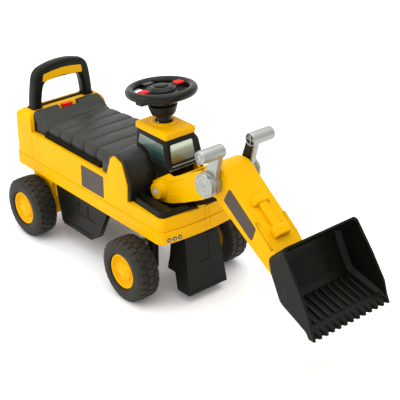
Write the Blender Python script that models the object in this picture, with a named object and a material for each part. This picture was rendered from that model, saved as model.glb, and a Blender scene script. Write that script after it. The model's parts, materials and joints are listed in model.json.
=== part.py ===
"""Ride-on digger: a child's foot-powered toy with a seat over a storage tub, a steering wheel on a
cab, and a two-joint digger arm worked by levers.

Design coordinates are millimetres: X runs forward to the bucket and starts midway between the
axles, Y runs to the toy's left, Z starts on the ground. point() turns them into the part's own frame,
in metres, whose origin is on the ground under the middle of the whole toy.
"""
from math import acos, atan2, cos, pi, radians, sin, tan

import bmesh
import bpy
from mathutils import Matrix, Vector

MM = 0.001
GAP = 0.3                      # clearance between neighbouring solids
WALL = 4.0                     # thickness of the large mouldings

# wheels
WHEEL_R = 65.0
TRACK_OUT = 140.8              # outer face of a tyre
TYRE_WIDTH = 51.0
HUB_R = 36.0
AXLE_X = 174.2                 # front axle; the rear axle is as far behind the middle
AXLE_R = 5.0
KING_Y = 60.0                  # king pins

# body
REAR_X, FRONT_X = -252.0, 245.0
BODY_HALF = 97.0
SKIRT_OUT = 2.0
SKIRT_LOW, SKIRT_TOP = 138.0, 164.0
DECK_Z, RAIL_Z, HUMP_Z = 191.0, 226.0, 266.0
HUMP_FRONT = -165.0
REAR_BOW, FRONT_BOW = 6.0, 9.0
CORNER_R = 14.0
SEAT_REAR, SEAT_FRONT = -150.0, 68.5
SEAT_HINGE = (SEAT_FRONT, 248.5)
COWL_X = 78.2
COWL_HALF = 93.5
TUB_HALF = 88.0
TUB_FLOOR, PANEL_DEPTH = 132.0, 12.0
LAMP_R, LAMP_Z = 4.2, 146.0

# steering
WHEEL_CENTRE = (134.0, 395.0)
COLUMN_TILT = radians(6.0)
RING_R, RING_TUBE = 61.0, 9.0
CRANK_LENGTH = 16.0
CRANK_DROP = 279.0
STEER_ARM = 26.0
TIE_Z = 105.0

# arm
BOOM_PIVOT = (170.0, 208.0)
ELBOW = (325.0, 283.0)
BUCKET_PIVOT = (516.0, 158.0)
BOOM_HALF, STICK_HALF, BUCKET_HALF = 36.0, 34.0, 95.0
ELBOW_R, TONGUE_R, NOSE_R = 32.0, 22.0, 21.0
PIN_R = 5.0

# overall length: from the tail's skirt to the bucket's teeth
TOOTH_TIP = (645.0, 127.0)
MIDDLE_X = (TOOTH_TIP[0] + REAR_X - SKIRT_OUT - REAR_BOW) / 2


def paint(name, colour, roughness, metallic=0.0):
    material = bpy.data.materials.new(name)
    material.use_nodes = True
    shader = material.node_tree.nodes["Principled BSDF"]
    shader.inputs["Base Color"].default_value = (*colour, 1.0)
    shader.inputs["Roughness"].default_value = roughness
    shader.inputs["Metallic"].default_value = metallic
    return material


# ---------------------------------------------------------------- shape helpers

def point(x, y, z):
    """Design millimetres to metres in the part's frame."""
    return Vector(((x - MIDDLE_X) * MM, y * MM, z * MM))


def add_object(name, vertices, faces):
    """A closed mesh object from design points, its faces turned outward."""
    mesh = bpy.data.meshes.new(name)
    mesh.from_pydata([point(*vertex) for vertex in vertices], [], faces)
    work = bmesh.new()
    work.from_mesh(mesh)
    bmesh.ops.recalc_face_normals(work, faces=work.faces)
    if work.calc_volume(signed=True) < 0:
        bmesh.ops.reverse_faces(work, faces=work.faces)
    work.to_mesh(mesh)
    work.free()
    obj = bpy.data.objects.new(name, mesh)
    bpy.context.scene.collection.objects.link(obj)
    return obj


def stack(name, rings):
    """A solid through rings of points, closed by its first and last ring."""
    count = len(rings[0])
    vertices = [vertex for ring in rings for vertex in ring]
    faces = [list(range(count))[::-1], list(range(len(vertices) - count, len(vertices)))]
    for level in range(len(rings) - 1):
        for i in range(count):
            j = (i + 1) % count
            low, high = level * count, (level + 1) * count
            faces.append([low + i, low + j, high + j, high + i])
    return add_object(name, vertices, faces)


def place(axis, u, v, w):
    """A point with u, v in the plane across the axis and w along it."""
    return {"X": (w, u, v), "Y": (u, w, v), "Z": (u, v, w)}[axis]


def prism(name, axis, outline, low, high):
    """An outline, (y, z), (x, z) or (x, y), drawn along an axis. low and high may be functions."""
    def level(value, u, v):
        return value(u, v) if callable(value) else value
    return stack(name, [[place(axis, u, v, level(end, u, v)) for u, v in outline]
                        for end in (low, high)])


def box(name, x, y, z):
    return prism(name, "Z", [(x[0], y[0]), (x[1], y[0]), (x[1], y[1]), (x[0], y[1])], *z)


def circle(centre, radius, steps, start=0.0, sweep=2 * pi):
    """Points round a circle, or along an arc with both its ends."""
    count = steps if sweep == 2 * pi else steps + 1
    return [(centre[0] + radius * cos(start + sweep * i / steps),
             centre[1] + radius * sin(start + sweep * i / steps)) for i in range(count)]


def turned(name, axis, centre, profile, steps=32):
    """A profile of (radius, height) points turned round an axis through centre (u, v)."""
    vertices, rings = [], []
    for radius, height in profile:
        ring = [(0.0, 0.0)] if radius == 0 else circle((0, 0), radius, steps)
        rings.append([len(vertices) + i for i in range(len(ring))])
        vertices += [place(axis, centre[0] + u, centre[1] + v, height) for u, v in ring]
    on_axis = profile[0][0] == 0
    pairs = zip(rings, rings[1:] if on_axis else rings[1:] + rings[:1])
    faces = []
    for one, two in pairs:
        for i in range(steps):
            j = (i + 1) % steps
            face = [one[i % len(one)], one[j % len(one)], two[j % len(two)], two[i % len(two)]]
            face = list(dict.fromkeys(face))
            if len(face) > 2:
                faces.append(face)
    return add_object(name, vertices, faces)


def rod(name, axis, centre, radius, low, high, steps=24):
    return prism(name, axis, circle(centre, radius, steps), low, high)


def rounded(outline, radius, steps=3, only=None):
    """An outline with its corners, or only the listed ones, rounded by arcs."""
    result = []
    for i, corner in enumerate(outline):
        if only is not None and i not in only:
            result.append(corner)
            continue
        corner = Vector(corner)
        back = Vector(outline[i - 1]) - corner
        ahead = Vector(outline[(i + 1) % len(outline)]) - corner
        half = back.angle(ahead) / 2
        reach = min(radius / tan(half), back.length * 0.49, ahead.length * 0.49)
        start, end = corner + back.normalized() * reach, corner + ahead.normalized() * reach
        bisector = (back.normalized() + ahead.normalized()).normalized()
        centre = corner + bisector * reach / cos(half)
        fillet = reach * tan(half)
        for k in range(steps + 1):
            ray = start.lerp(end, k / steps) - centre
            result.append(tuple(centre + ray.normalized() * fillet))
    return result


def grown(outline, distance):
    """An outline moved outward by a distance."""
    area = sum(a[0] * b[1] - b[0] * a[1] for a, b in zip(outline, outline[1:] + outline[:1]))
    side = 1 if area > 0 else -1
    result = []
    for i, corner in enumerate(outline):
        corner = Vector(corner)
        into = (corner - Vector(outline[i - 1])).normalized()
        away = (Vector(outline[(i + 1) % len(outline)]) - corner).normalized()
        normals = [Vector((d.y, -d.x)) * side for d in (into, away)]
        middle = (normals[0] + normals[1]).normalized()
        result.append(tuple(corner + middle * distance / max(middle.dot(normals[0]), 0.3)))
    return result


def apply_modifiers(obj):
    mesh = bpy.data.meshes.new_from_object(
        obj.evaluated_get(bpy.context.evaluated_depsgraph_get()))
    obj.modifiers.clear()
    obj.data = mesh


def combine(obj, others, operation):
    for other in others:
        boolean = obj.modifiers.new("combine", "BOOLEAN")
        boolean.operation = operation
        boolean.solver = "EXACT"
        boolean.object = other
        apply_modifiers(obj)
        bpy.data.objects.remove(other)
    return obj


def cut(obj, *cutters):
    return combine(obj, cutters, "DIFFERENCE")


def fuse(obj, *others):
    return combine(obj, others, "UNION")


def overlap(obj, *others):
    return combine(obj, others, "INTERSECT")


def soften(obj, width, segments=1, angle=35):
    """Bevelled sharp edges; width in millimetres."""
    bevel = obj.modifiers.new("soften", "BEVEL")
    bevel.width = width * MM
    bevel.segments = segments
    bevel.limit_method = "ANGLE"
    bevel.angle_limit = radians(angle)
    apply_modifiers(obj)
    return obj


def finish(obj, material, pivot=None, smooth=False):
    """Give a piece its material and, on a moving piece, its origin on the joint's axis."""
    obj.data.materials.clear()
    obj.data.materials.append(material)
    if pivot is not None:
        shift = point(*pivot)
        obj.data.transform(Matrix.Translation(-shift))
        obj.location = shift
    if smooth:
        obj.data.shade_smooth()
        obj.data.set_sharp_from_angle(angle=radians(35))
    return obj


def tilted(obj):
    """Stand a piece that was made round the Z axis through the design origin on the column."""
    centre = point(WHEEL_CENTRE[0], 0, WHEEL_CENTRE[1])
    obj.data.transform(Matrix.Translation(-point(0, 0, 0)))
    obj.rotation_euler = (0, -COLUMN_TILT, 0)
    obj.location = centre
    return obj


def column_x(z):
    """Where the steering column's axis is at a height."""
    return WHEEL_CENTRE[0] + (WHEEL_CENTRE[1] - z) * tan(COLUMN_TILT)


def tilted_rod(name, radius, low, high, steps=24):
    """A round cutter along the steering column between two heights."""
    rings = [[(column_x(z) + u, v, z) for u, v in circle((0, 0), radius, steps)]
             for z in (low, high)]
    return stack(name, rings)


# ---------------------------------------------------------------- body

def body_plan(outset):
    """The body from above: bowed at the tail and the nose, with rounded corners."""
    half = BODY_HALF + outset
    steps = 6
    across = [half * (2 * i / steps - 1) for i in range(steps + 1)]
    nose = [(FRONT_X + outset + FRONT_BOW * (1 - (y / half) ** 2), y) for y in across]
    tail = [(REAR_X - outset - REAR_BOW * (1 - (y / half) ** 2), y) for y in reversed(across)]
    corners = (0, steps, steps + 1, 2 * steps + 1)
    return rounded(nose + tail, max(CORNER_R + outset, 4), 4, corners)


def fin_outline(outset=0.0):
    """The upright beside the cowl, from the side."""
    fin = [(76, RAIL_Z - 8), (94, 266.5), (104, 275), (128, 266.5), (144, 225), (143, DECK_Z - 8)]
    return rounded(grown(fin, outset), 6, 3, (1, 2, 3, 4))


def hump_shape(name, inset):
    """The raised tail that carries the handle, smaller by an inset for its hollow."""
    top = HUMP_Z - inset
    foot = SKIRT_TOP - 3
    side = [(REAR_X - 30, foot), (HUMP_FRONT - inset, foot), (HUMP_FRONT - inset, 238 - inset),
            (-186 - inset, 259 - inset), (-203, top), (-232, top), (-242 + inset, top - 8),
            (-258 + inset, 200)]
    proud = 0.4 - inset
    half = BODY_HALF + proud
    front = [(-half, foot), (half, foot), (half, top + 1), (-half, top + 1)]
    shape = prism(name, "Y", side, -130, 130)
    overlap(shape, prism("arch", "X", rounded(front, 20, 5, (2, 3)), -290, -100))
    return overlap(shape, prism("plan", "Z", body_plan(proud), foot - 1, 300))


def lamp_places():
    """(y, x of the nose's surface) of the three lamps at the right front corner."""
    half = BODY_HALF + SKIRT_OUT
    return [(y, FRONT_X + SKIRT_OUT + FRONT_BOW * (1 - (y / half) ** 2)) for y in (-55.5, -67.5, -79.5)]


def shield_outline():
    """The seat's upturned back, from the side."""
    low = RAIL_Z + 2 * GAP
    return [(-150, low), (-150, 247), (-161, 247.6), (-187, 267.5), (-193, 268.5), (-197, 265),
            (-175, 232), (-172, low)]


def body_shell(material):
    shell = prism("body_shell", "Z", body_plan(0), SKIRT_LOW, 310)
    side = [(-290, 130), (300, 130), (300, DECK_Z), (143.5, DECK_Z), (143.5, RAIL_Z), (-290, RAIL_Z)]
    upper = prism("side", "Y", side, -130, 130)
    fuse(upper, prism("fins", "Y", fin_outline(), -130, 130))
    overlap(shell, upper)
    cut(shell, box("cowl_seat", (COWL_X - 2, 170), (-COWL_HALF - GAP, COWL_HALF + GAP), (DECK_Z, 310)))
    fuse(shell, prism("skirt", "Z", body_plan(SKIRT_OUT), SKIRT_LOW, SKIRT_TOP),
         hump_shape("hump", 0), box("nose_tab", (247, 253.5), (-8, 8), (DECK_Z - 4, 196)))
    cut(shell, prism("seat_recess", "Y", grown(shield_outline(), GAP), -85, 85))
    hollow = prism("hollow", "Z", body_plan(-WALL), SKIRT_LOW - 20, RAIL_Z - WALL)
    cut(hollow, box("nose_top", (COWL_X - 6, 300), (-130, 130), (DECK_Z - WALL, 300)))
    cut(shell, hollow)
    for side in (-1, 1):
        low, high = sorted((side * 24, side * 90))
        cavity = overlap(hump_shape("cavity", WALL), box("part", (-270, -203), (low, high), (190, 300)))
        cut(shell, cavity)
        low, high = sorted((side * (BODY_HALF - 1.0), side * 125))
        cut(shell, prism("badge_recess", "Y", badge_outline(GAP), low, high))
    cut(shell, *[rod("lamp_hole", "X", (y, LAMP_Z), LAMP_R + GAP, 225, 290, 12)
                 for y, _ in lamp_places()])
    cut(shell, box("seat_opening", (SEAT_REAR, SEAT_FRONT + 9.5), (-80, 80), (200, 260)),
        box("well_opening", (138, 242), (-56, 56), (180, 205)),
        box("latch_pocket", (-199.3, -188.7), (-13.3, 13.3), (232, 290)))
    return finish(shell, material)


def badge_outline(outset=0.0):
    return grown(rounded([(-8, 169), (67, 169), (67, 216), (-8, 216)], 2, 2), outset)


def side_badge(side, material):
    name = "side_badge_right" if side < 0 else "side_badge_left"
    low, high = sorted((side * (BODY_HALF - 0.7), side * (BODY_HALF + 0.3)))
    return finish(prism(name, "Y", badge_outline(), low, high), material)


def lamp_cluster(material):
    cluster = box("front_lamps", (233, 239), (-83, -50), (LAMP_Z - 4.5, LAMP_Z + 4.5))
    fuse(cluster, *[rod("lamp", "X", (y, LAMP_Z), LAMP_R, 238, x + 1.2, 12)
                    for y, x in lamp_places()])
    return finish(cluster, material)


def storage_tub(material):
    """The shallow tub, with an open-backed panel hanging from each of its sides."""
    def outline(inset, top):
        return [(-121 + inset, top), (-118 + inset, 124), (-103 + inset, 49 + inset * 0.4),
                (-96 + inset, 43 + inset), (2 - inset * 0.3, 43 + inset),
                (29 - inset * 0.8, 61 + inset * 0.5), (62 - inset, 127), (64 - inset, top)]
    tub = prism("storage_tub", "Y", outline(0, RAIL_Z - WALL - GAP), -TUB_HALF, TUB_HALF)
    cut(tub, prism("under", "Y", [(-140, 30), (80, 30), (80, TUB_FLOOR), (-140, TUB_FLOOR)],
                   PANEL_DEPTH - TUB_HALF, TUB_HALF - PANEL_DEPTH))
    for side in (-1, 1):
        near, far = sorted((side * (TUB_HALF - PANEL_DEPTH - 5), side * (TUB_HALF - 3.5)))
        cut(tub, prism("panel_inside", "Y", outline(3.5, TUB_FLOOR), near, far))
    cut(tub, prism("inside", "Y", [(-115, TUB_FLOOR + 3.5), (58.5, TUB_FLOOR + 3.5), (59.5, RAIL_Z),
                                   (-116, RAIL_Z)], 3.5 - TUB_HALF, TUB_HALF - 3.5))
    fuse(tub, box("foot_pad", (-75, 20), (-50, 50), (TUB_FLOOR - 2, TUB_FLOOR + 1)))
    return finish(tub, material)


def seat_lid(material):
    pivot_x, pivot_z = SEAT_HINGE
    low = RAIL_Z + GAP
    front = [(-84, low), (84, low), (84, 240), (82, 250), (76, 256), (-76, 256), (-82, 250), (-84, 240)]
    lid = prism("seat_lid", "X", front, -155.3, SEAT_FRONT)
    tops = [(-158, low - 5), (-160, 247), (-60, 251.5), (20, 258), (56, 259), (SEAT_FRONT, 257.5),
            (80, 257), (80, low - 5)]
    overlap(lid, prism("crown", "Y", tops, -100, 100))

    def half(x, z):
        return 83.7 - (z - RAIL_Z) * 0.4
    back = prism("shield", "Y", shield_outline(), lambda x, z: -half(x, z), half)
    fuse(lid, back, box("rib_band", (-153.5, 50), (-90.5, 90.5), (low + 0.2, 229)))
    cut(lid, box("notch", (-210, -178), (-25, 25), (220, 290)))
    cut(lid, prism("hollow", "X", [(-78, 220), (78, 220), (74, 246), (-74, 246)], -146, 52))
    fuse(lid, rod("barrel", "Y", SEAT_HINGE, 9, -83.5, 83.5, 16))
    cut(lid, rod("pin_hole", "Y", SEAT_HINGE, 2.5 + GAP, -120, 120, 12))
    return finish(lid, material, (pivot_x, 0, pivot_z))


def seat_hinge_pin(material):
    return finish(rod("seat_hinge_pin", "Y", SEAT_HINGE, 2.5, -90, 90, 12), material)


def seat_latch(material):
    latch = box("seat_latch", (-198.8, -189.2), (-12.8, 12.8), (249, 266.5))
    return finish(soften(latch, 1.0), material, (-194, 0, 249))


def latch_spring(material):
    """A small coil between the latch and the floor of its pocket."""
    turns, radius, wire, steps, sides = 3, 3.6, 0.6, 10, 5
    low, high = 232 + GAP + wire, 249 - GAP - wire
    rings = []
    for i in range(turns * steps + 1):
        turn = 2 * pi * i / steps
        height = low + (high - low) * i / (turns * steps)
        ring = circle((radius, height), wire, sides)
        rings.append([(-194 + r * cos(turn), r * sin(turn), h) for r, h in ring])
    return finish(stack("latch_spring", rings), material)


def push_handle(material):
    base = HUMP_Z + GAP
    half = [(77, base), (69, 329), (60, 349), (34, 357)]
    outer = rounded(half + [(0, 361)] + [(-y, z) for y, z in reversed(half)], 16, 3, (1, 2, 6, 7))
    inner_half = [(54, base + 5), (46, 318), (22, 320)]
    inner = rounded(inner_half + [(0, 321)] + [(-y, z) for y, z in reversed(inner_half)], 10, 3,
                    (1, 5))
    handle = prism("push_handle", "X", outer, -228, -203)
    cut(handle, prism("window", "X", inner, -240, -190))
    cut(handle, box("bar_front", (-240, -222), (-53.5, 53.5), (240, 290)),
        box("bar_back", (-210, -190), (-53.5, 53.5), (240, 290)))
    cut(handle, prism("inlay_recess", "X", inlay_outline(GAP), -204.3, -190))
    return finish(handle, material)


def inlay_outline(outset=0.0):
    half = [(51, 322), (48, 339), (24, 343)]
    return grown(rounded(half + [(0, 344.5)] + [(-y, z) for y, z in reversed(half)] + [(0, 327.5)],
                         3, 2, (0, 1, 5, 6)), outset)


def handle_inlay(material):
    return finish(prism("handle_inlay", "X", inlay_outline(), -204.0, -202.8), material)


# ---------------------------------------------------------------- cowl, tray and cab

def cowl_profile(rise, inset=0.0):
    """The cowl from the side: rise is 0 beside the fins and 1 beside the cab."""
    profile = [(COWL_X, DECK_Z + GAP), (COWL_X, 249), (84, 257 + 5 * rise), (98, 265 + 9 * rise),
               (112 + 4 * rise, 268 + 12 * rise), (122 + 8 * rise, 265 + 13 * rise),
               (130 + 9 * rise, 252 + 13 * rise), (134 + 10 * rise, 234 + 8 * rise),
               (137 + 5 * rise, 214), (137.3, 204), (137.3, DECK_Z + GAP)]
    if not inset:
        return profile
    profile = grown(profile, -inset)
    profile[0] = (profile[0][0], DECK_Z - 10)
    profile[-1] = (profile[-1][0], DECK_Z - 10)
    return profile


def cowl_body(name, half, inset=0.0):
    places = [(-half, 0), (-66, 0), (-44, 1), (44, 1), (66, 0), (half, 0)]
    return stack(name, [[(x, y, z) for x, z in cowl_profile(rise, inset)] for y, rise in places])


def front_cowl(material):
    cowl = cowl_body("front_cowl", COWL_HALF)
    for side in (-1, 1):
        rim = fin_outline(6.0)
        low, high = sorted((side * (COWL_HALF - 7), side * COWL_HALF))
        wing = prism("rim", "Y", rim, low, high)
        overlap(wing, box("above_deck", (COWL_X, 165), (-130, 130), (DECK_Z + GAP, 310)))
        low, high = sorted((side * (84 + GAP), side * COWL_HALF))
        foot = cut(box("foot", (58, COWL_X + 3), (low, high), (RAIL_Z + GAP, 256)),
                   rod("pin_hole", "Y", SEAT_HINGE, 2.5 + GAP, -100, 100, 12))
        fuse(cowl, wing, foot)
    cut(cowl, cowl_body("inside", COWL_HALF - WALL, WALL))
    cut(cowl, box("boom_space", (140.5, 180), (-52, 52), (180, 238)),
        tilted_rod("column_space", 18, 200, 300, 16))
    return finish(cowl, material)


def deck_tray(material):
    def plan(inset):
        return rounded([(137.6 + inset, -85.4 + inset), (243 - inset, -93 + inset), (250 - inset, 0),
                        (243 - inset, 93 - inset), (137.6 + inset, 85.4 - inset)], 11, 3, (1, 3))
    base, top = DECK_Z + GAP, 202.0
    tray = stack("deck_tray", [[(x, y, base) for x, y in plan(0)], [(x, y, top) for x, y in plan(3)]])
    cut(tray, prism("inside", "Z", plan(7), base + 2.5, 230))
    tub = box("well", (139.3, 241), (-55, 55), (176, base + 1))
    fuse(tray, tub)
    cut(tray, box("well_inside", (141.8, 238), (-52, 52), (179, 230)),
        box("boom_notch", (236, 280), (-28, 28), (196.5, 230)),
        box("tab_notch", (246.5, 280), (-8.5, 8.5), (180, 230)),
        tilted_rod("column_hole", 8, 160, 200, 16))
    return finish(tray, material)


def cab_half(z):
    """Half the cab's width at a height."""
    return 35.0 + (317.0 - z) * 3.0 / 55.0


def cab_front(z):
    return 200.0 - (z - 266.0) * 0.21


def cab_frame(material):
    rings = [[(98 + (z - 260) * 0.05, -cab_half(z), z), (cab_front(z), -cab_half(z), z),
              (cab_front(z), cab_half(z), z), (98 + (z - 260) * 0.05, cab_half(z), z)]
             for z in (260.0, 317.0)]
    frame = stack("cab_frame", rings)
    fuse(frame, box("pedestal", (120, 192), (-30.5, 30.5), (179 + GAP, 262)))
    fuse(frame, prism("ledge", "Y", [(196, 260), (204, 260), (204, 263), (196, 268)], -36, 36))
    inner = [[(104, -26, z), (184, -26, z), (184, 26, z), (104, 26, z)] for z in (262, 311)]
    cut(frame, stack("inside", inner), box("leg_inside", (124, 187), (-26, 26), (170, 270)))
    under = grown(cowl_profile(1), GAP)
    under[0] = (under[0][0], 100)
    under[-1] = (under[-1][0], 100)
    cut(frame, prism("cowl_under", "Y", under, -120, 120))
    cut(frame, box("tub_wall", (100, 142.1), (-60, 60), (150, 238.5)))
    cut(frame, tilted_rod("column_hole", 16.5, 300, 330))
    for side in (-1, 1):
        def low(x, z):
            return side * (cab_half(z) - 1.6)

        def high(x, z):
            return side * (cab_half(z) + 5)
        cut(frame, prism("window_recess", "Y", grown(side_window_outline(), GAP), low, high))
    cut(frame, prism("front_recess", "X", grown(front_window_outline(), GAP),
                     lambda y, z: cab_front(z) - 1.6, lambda y, z: cab_front(z) + 9))
    cut(frame, rod("pin_hole", "Y", BOOM_PIVOT, PIN_R + GAP, -40, 40, 16))
    return finish(frame, material)


def side_window_outline():
    return [(104, 287), (109, 307), (179, 305), (188, 266), (146, 266), (139, 276), (130, 282.5),
            (120, 286)]


def front_window_outline():
    return rounded([(-29, 270), (29, 270), (26.8, 306), (-26.8, 306)], 3, 2)


def side_window(side, material):
    name = "window_right" if side < 0 else "window_left"
    pane = prism(name, "Y", side_window_outline(), lambda x, z: side * (cab_half(z) - 1.3),
                 lambda x, z: side * (cab_half(z) - 0.1))
    return finish(pane, material)


def front_window(material):
    pane = prism("window_front", "X", front_window_outline(), lambda y, z: cab_front(z) - 1.3,
                 lambda y, z: cab_front(z) - 0.1)
    return finish(pane, material)


def cab_roof(material):
    def plan(rear, front, half, radius):
        return rounded([(rear, -half), (front, -half), (front, half), (rear, half)], radius, 3)
    base = 317 + GAP
    rings = [[(x, y, z) for x, y in plan(rear, front, half, radius)] for z, rear, front, half, radius in
             ((base, 97, 191, 37.5, 6), (327.5, 96, 192, 38, 7), (331.6, 101, 187, 33, 7))]
    roof = stack("cab_roof", rings)
    collar = turned("collar", "Z", (column_x(334), 0), [(0, 325), (26, 325), (26, 333), (24, 335.5),
                                                        (0, 335.5)], 28)
    fuse(roof, collar)
    cut(roof, tilted_rod("hole", 15.8, 300, 350, 28))
    cut(roof, box("drain_slot", (118, 124), (24, 31), (328, 350)))
    return finish(roof, material)


# ---------------------------------------------------------------- steering

CUP_LOW = -49.0                  # under the steering wheel's centre


def steering_column(material):
    column = turned("steering_column", "Z", (0, 0), [(0, -CRANK_DROP - 8), (6, -CRANK_DROP - 8),
                    (6, -94), (15, -88), (15, CUP_LOW - GAP), (0, CUP_LOW - GAP)], 24)
    cut(column, rod("screw_hole", "Y", (0, -61), 2.6, -20, -10, 12))
    return tilted(finish(column, material, smooth=True))


def column_screw(material):
    screw = turned("column_screw", "Y", (0, -61), [(0, -15.3), (2.2, -15.3), (2.2, -10.6), (0, -10.6)],
                   12)
    return tilted(finish(screw, material))


def steering_cup(material):
    cup = turned("steering_cup", "Z", (0, 0), [(0, CUP_LOW), (20, CUP_LOW), (23.5, CUP_LOW + 3), (29, -30),
                                               (28, -28.3), (0, -28.3)], 28)
    return tilted(finish(cup, material, smooth=True))


def button_outline(side, outset=0.0):
    low, high = 34, 51
    outline = [(-9, side * low), (9, side * low), (8, side * high), (-8, side * high)]
    return grown(rounded(outline, 3, 2), outset)


def steering_wheel(material):
    section = circle((RING_R, 0), RING_TUBE, 8)
    wheel = turned("steering_wheel", "Z", (0, 0), section, 32)
    hub = turned("hub", "Z", (0, 0), [(0, -28), (26, -28), (30, -20), (30, 3), (26, 8), (0, 8)], 20)
    arms = [prism("spoke", "Z", [(-12, side * 21.3), (12, side * 21.3), (10, side * 58.4),
                                 (-10, side * 58.4)], -19, 5) for side in (-1, 1)]
    tail = box("tail_spoke", (-58, -20), (-7, 7), (-10, 1))
    fuse(wheel, hub, *arms, tail)
    cut(wheel, *[prism("recess", "Z", button_outline(side, GAP), -0.6, 20) for side in (-1, 1)],
        rod("cap_recess", "Z", (0, 0), 13 + GAP, 3.4, 20, 20))
    return tilted(finish(wheel, material, smooth=True))


def horn_cap(material):
    cap = turned("horn_cap", "Z", (0, 0), [(0, 6), (13, 6), (13, 9), (11.5, 10.5), (0, 10.5)], 24)
    return tilted(finish(cap, material, smooth=True))


def wheel_button(side, material):
    name = "button_right" if side < 0 else "button_left"
    return tilted(finish(soften(prism(name, "Z", button_outline(side), 2, 8), 1.0), material))


def steering_crank(material):
    low = -CRANK_DROP
    crank = prism("steering_crank", "Z", [(-CRANK_LENGTH - 6, -6), (0, -10), (8, -8), (10, 0), (8, 8),
                                          (0, 10), (-CRANK_LENGTH - 6, 6)], low - 3, low + 3)
    fuse(crank, rod("pin", "Z", (-CRANK_LENGTH, 0), 2.5, low - 8, low, 16))
    cut(crank, rod("bore", "Z", (0, 0), 6 + GAP, low - 10, low + 10, 24))
    return tilted(finish(crank, material))


def tie_rod(material):
    x = AXLE_X - STEER_ARM
    bar = box("tie_rod", (x - 7, x + 9), (-KING_Y - 8, KING_Y + 8), (TIE_Z, TIE_Z + 6))
    slots = [prism("slot", "Z", [(x - 4, y - 3), (x + 6, y - 3), (x + 6, y + 3), (x - 4, y + 3)],
                   TIE_Z - 2, TIE_Z + 9) for y in (-KING_Y, 0, KING_Y)]
    return finish(cut(bar, *slots), material)


def king_pin(side, material):
    name = "king_pin_right" if side < 0 else "king_pin_left"
    pin = rod(name, "Z", (AXLE_X, side * KING_Y), AXLE_R, 47, 146, 16)
    fuse(pin, rod("head", "Z", (AXLE_X, side * KING_Y), 8, 44, 49 - GAP, 16))
    return finish(pin, material)


def knuckle(side, material):
    name = "knuckle_right" if side < 0 else "knuckle_left"
    y = side * KING_Y
    sleeve = rod(name, "Z", (AXLE_X, y), 11, 49, 119, 16)
    low, high = sorted((side * (KING_Y + 5), side * 92))
    arm_x = AXLE_X - STEER_ARM
    arm = prism("arm", "Z", [(arm_x - 5, y - 5), (AXLE_X, y - 8), (AXLE_X, y + 8), (arm_x - 5, y + 5)],
                TIE_Z - 8, TIE_Z - GAP)
    fuse(sleeve, rod("socket", "Y", (AXLE_X, WHEEL_R), 9, low, high, 16), arm,
         rod("pin", "Z", (arm_x, y), 2.5, TIE_Z - 4, TIE_Z + 6, 12))
    low, high = sorted((side * (KING_Y + 13), side * 130))
    cut(sleeve, rod("bore", "Z", (AXLE_X, y), AXLE_R + GAP, 40, 130, 16),
        rod("stub_bore", "Y", (AXLE_X, WHEEL_R), AXLE_R + GAP, low, high, 16))
    return finish(sleeve, material, (AXLE_X, y, WHEEL_R))


def stub_axle(side, material):
    name = "stub_axle_right" if side < 0 else "stub_axle_left"
    low, high = sorted((side * (KING_Y + 13.5), side * 128))
    return finish(rod(name, "Y", (AXLE_X, WHEEL_R), AXLE_R, low, high, 16), material,
                  (AXLE_X, side * KING_Y, WHEEL_R))


# ---------------------------------------------------------------- axles and wheels

def rear_axle(material):
    return finish(rod("rear_axle", "Y", (-AXLE_X, WHEEL_R), AXLE_R, -128, 128, 16), material)


def rear_axle_housing(material):
    housing = box("rear_axle_housing", (-208, -140), (-86, 86), (46, 154))
    cut(housing, box("inside", (-204, -144), (-81, 81), (30, 150)))
    fuse(housing, box("shelf", (-230, -122.5), (-92.5, 92.5), (150, 154)),
         box("arch_wall", (-126, -122.5), (-86, 86), (96, 154)))
    cut(housing, rod("bore", "Y", (-AXLE_X, WHEEL_R), AXLE_R + GAP, -130, 130, 16))
    return finish(housing, material)


def front_axle_housing(material):
    housing = box("front_axle_housing", (146, 202), (-76, 76), (121, 175))
    cut(housing, box("inside", (150, 198), (-50, 50), (110, 171)))
    lugs = [prism("lug", "Y", rounded([(206, 129), (228, 129), (228, 152), (206, 152)], 8, 3, (0, 1)),
                  *sorted((side * 66, side * 84))) for side in (-1, 1)]
    fuse(housing, box("shelf", (146, 228), (-90, 90), (151, 156)), *lugs)
    cut(housing, *[rod("bore", "Z", (AXLE_X, side * KING_Y), AXLE_R + GAP, 100, 146.5, 16)
                   for side in (-1, 1)], tilted_rod("column_hole", 8, 100, 200, 16),
        box("skirt_space", (205, 252), (-46, 46), (100, 200)))
    return finish(housing, material)


def tyre(name, side, x, material, steer=False):
    inner = TRACK_OUT - TYRE_WIDTH
    bead = HUB_R + GAP
    section = [(bead, inner + 5), (50, inner), (WHEEL_R - 3, inner + 3), (WHEEL_R, inner + 10),
               (WHEEL_R, TRACK_OUT - 10), (WHEEL_R - 3, TRACK_OUT - 3), (50, TRACK_OUT),
               (bead, TRACK_OUT - 3)]
    ring = turned(name, "Y", (x, WHEEL_R), [(r, side * h) for r, h in section], 32)
    return finish(ring, material, (x, side * (KING_Y if steer else 0), WHEEL_R), smooth=True)


def wheel_hub(name, side, x, material, steer=False):
    bore = AXLE_R + GAP
    inner = 93 + GAP
    section = [(bore, 129), (bore, inner), (14, inner), (16, inner + 6), (HUB_R, inner + 8),
               (HUB_R, TRACK_OUT - 3), (HUB_R - 5, TRACK_OUT - 4), (28, 130), (16, 130), (13, 137),
               (0, 138), (0, 129)]
    hub = turned(name, "Y", (x, WHEEL_R), [(r, side * h) for r, h in section[::-1]][1:] +
                 [(0, side * 129)], 24)
    return finish(hub, material, (x, side * (KING_Y if steer else 0), WHEEL_R), smooth=True)


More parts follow.
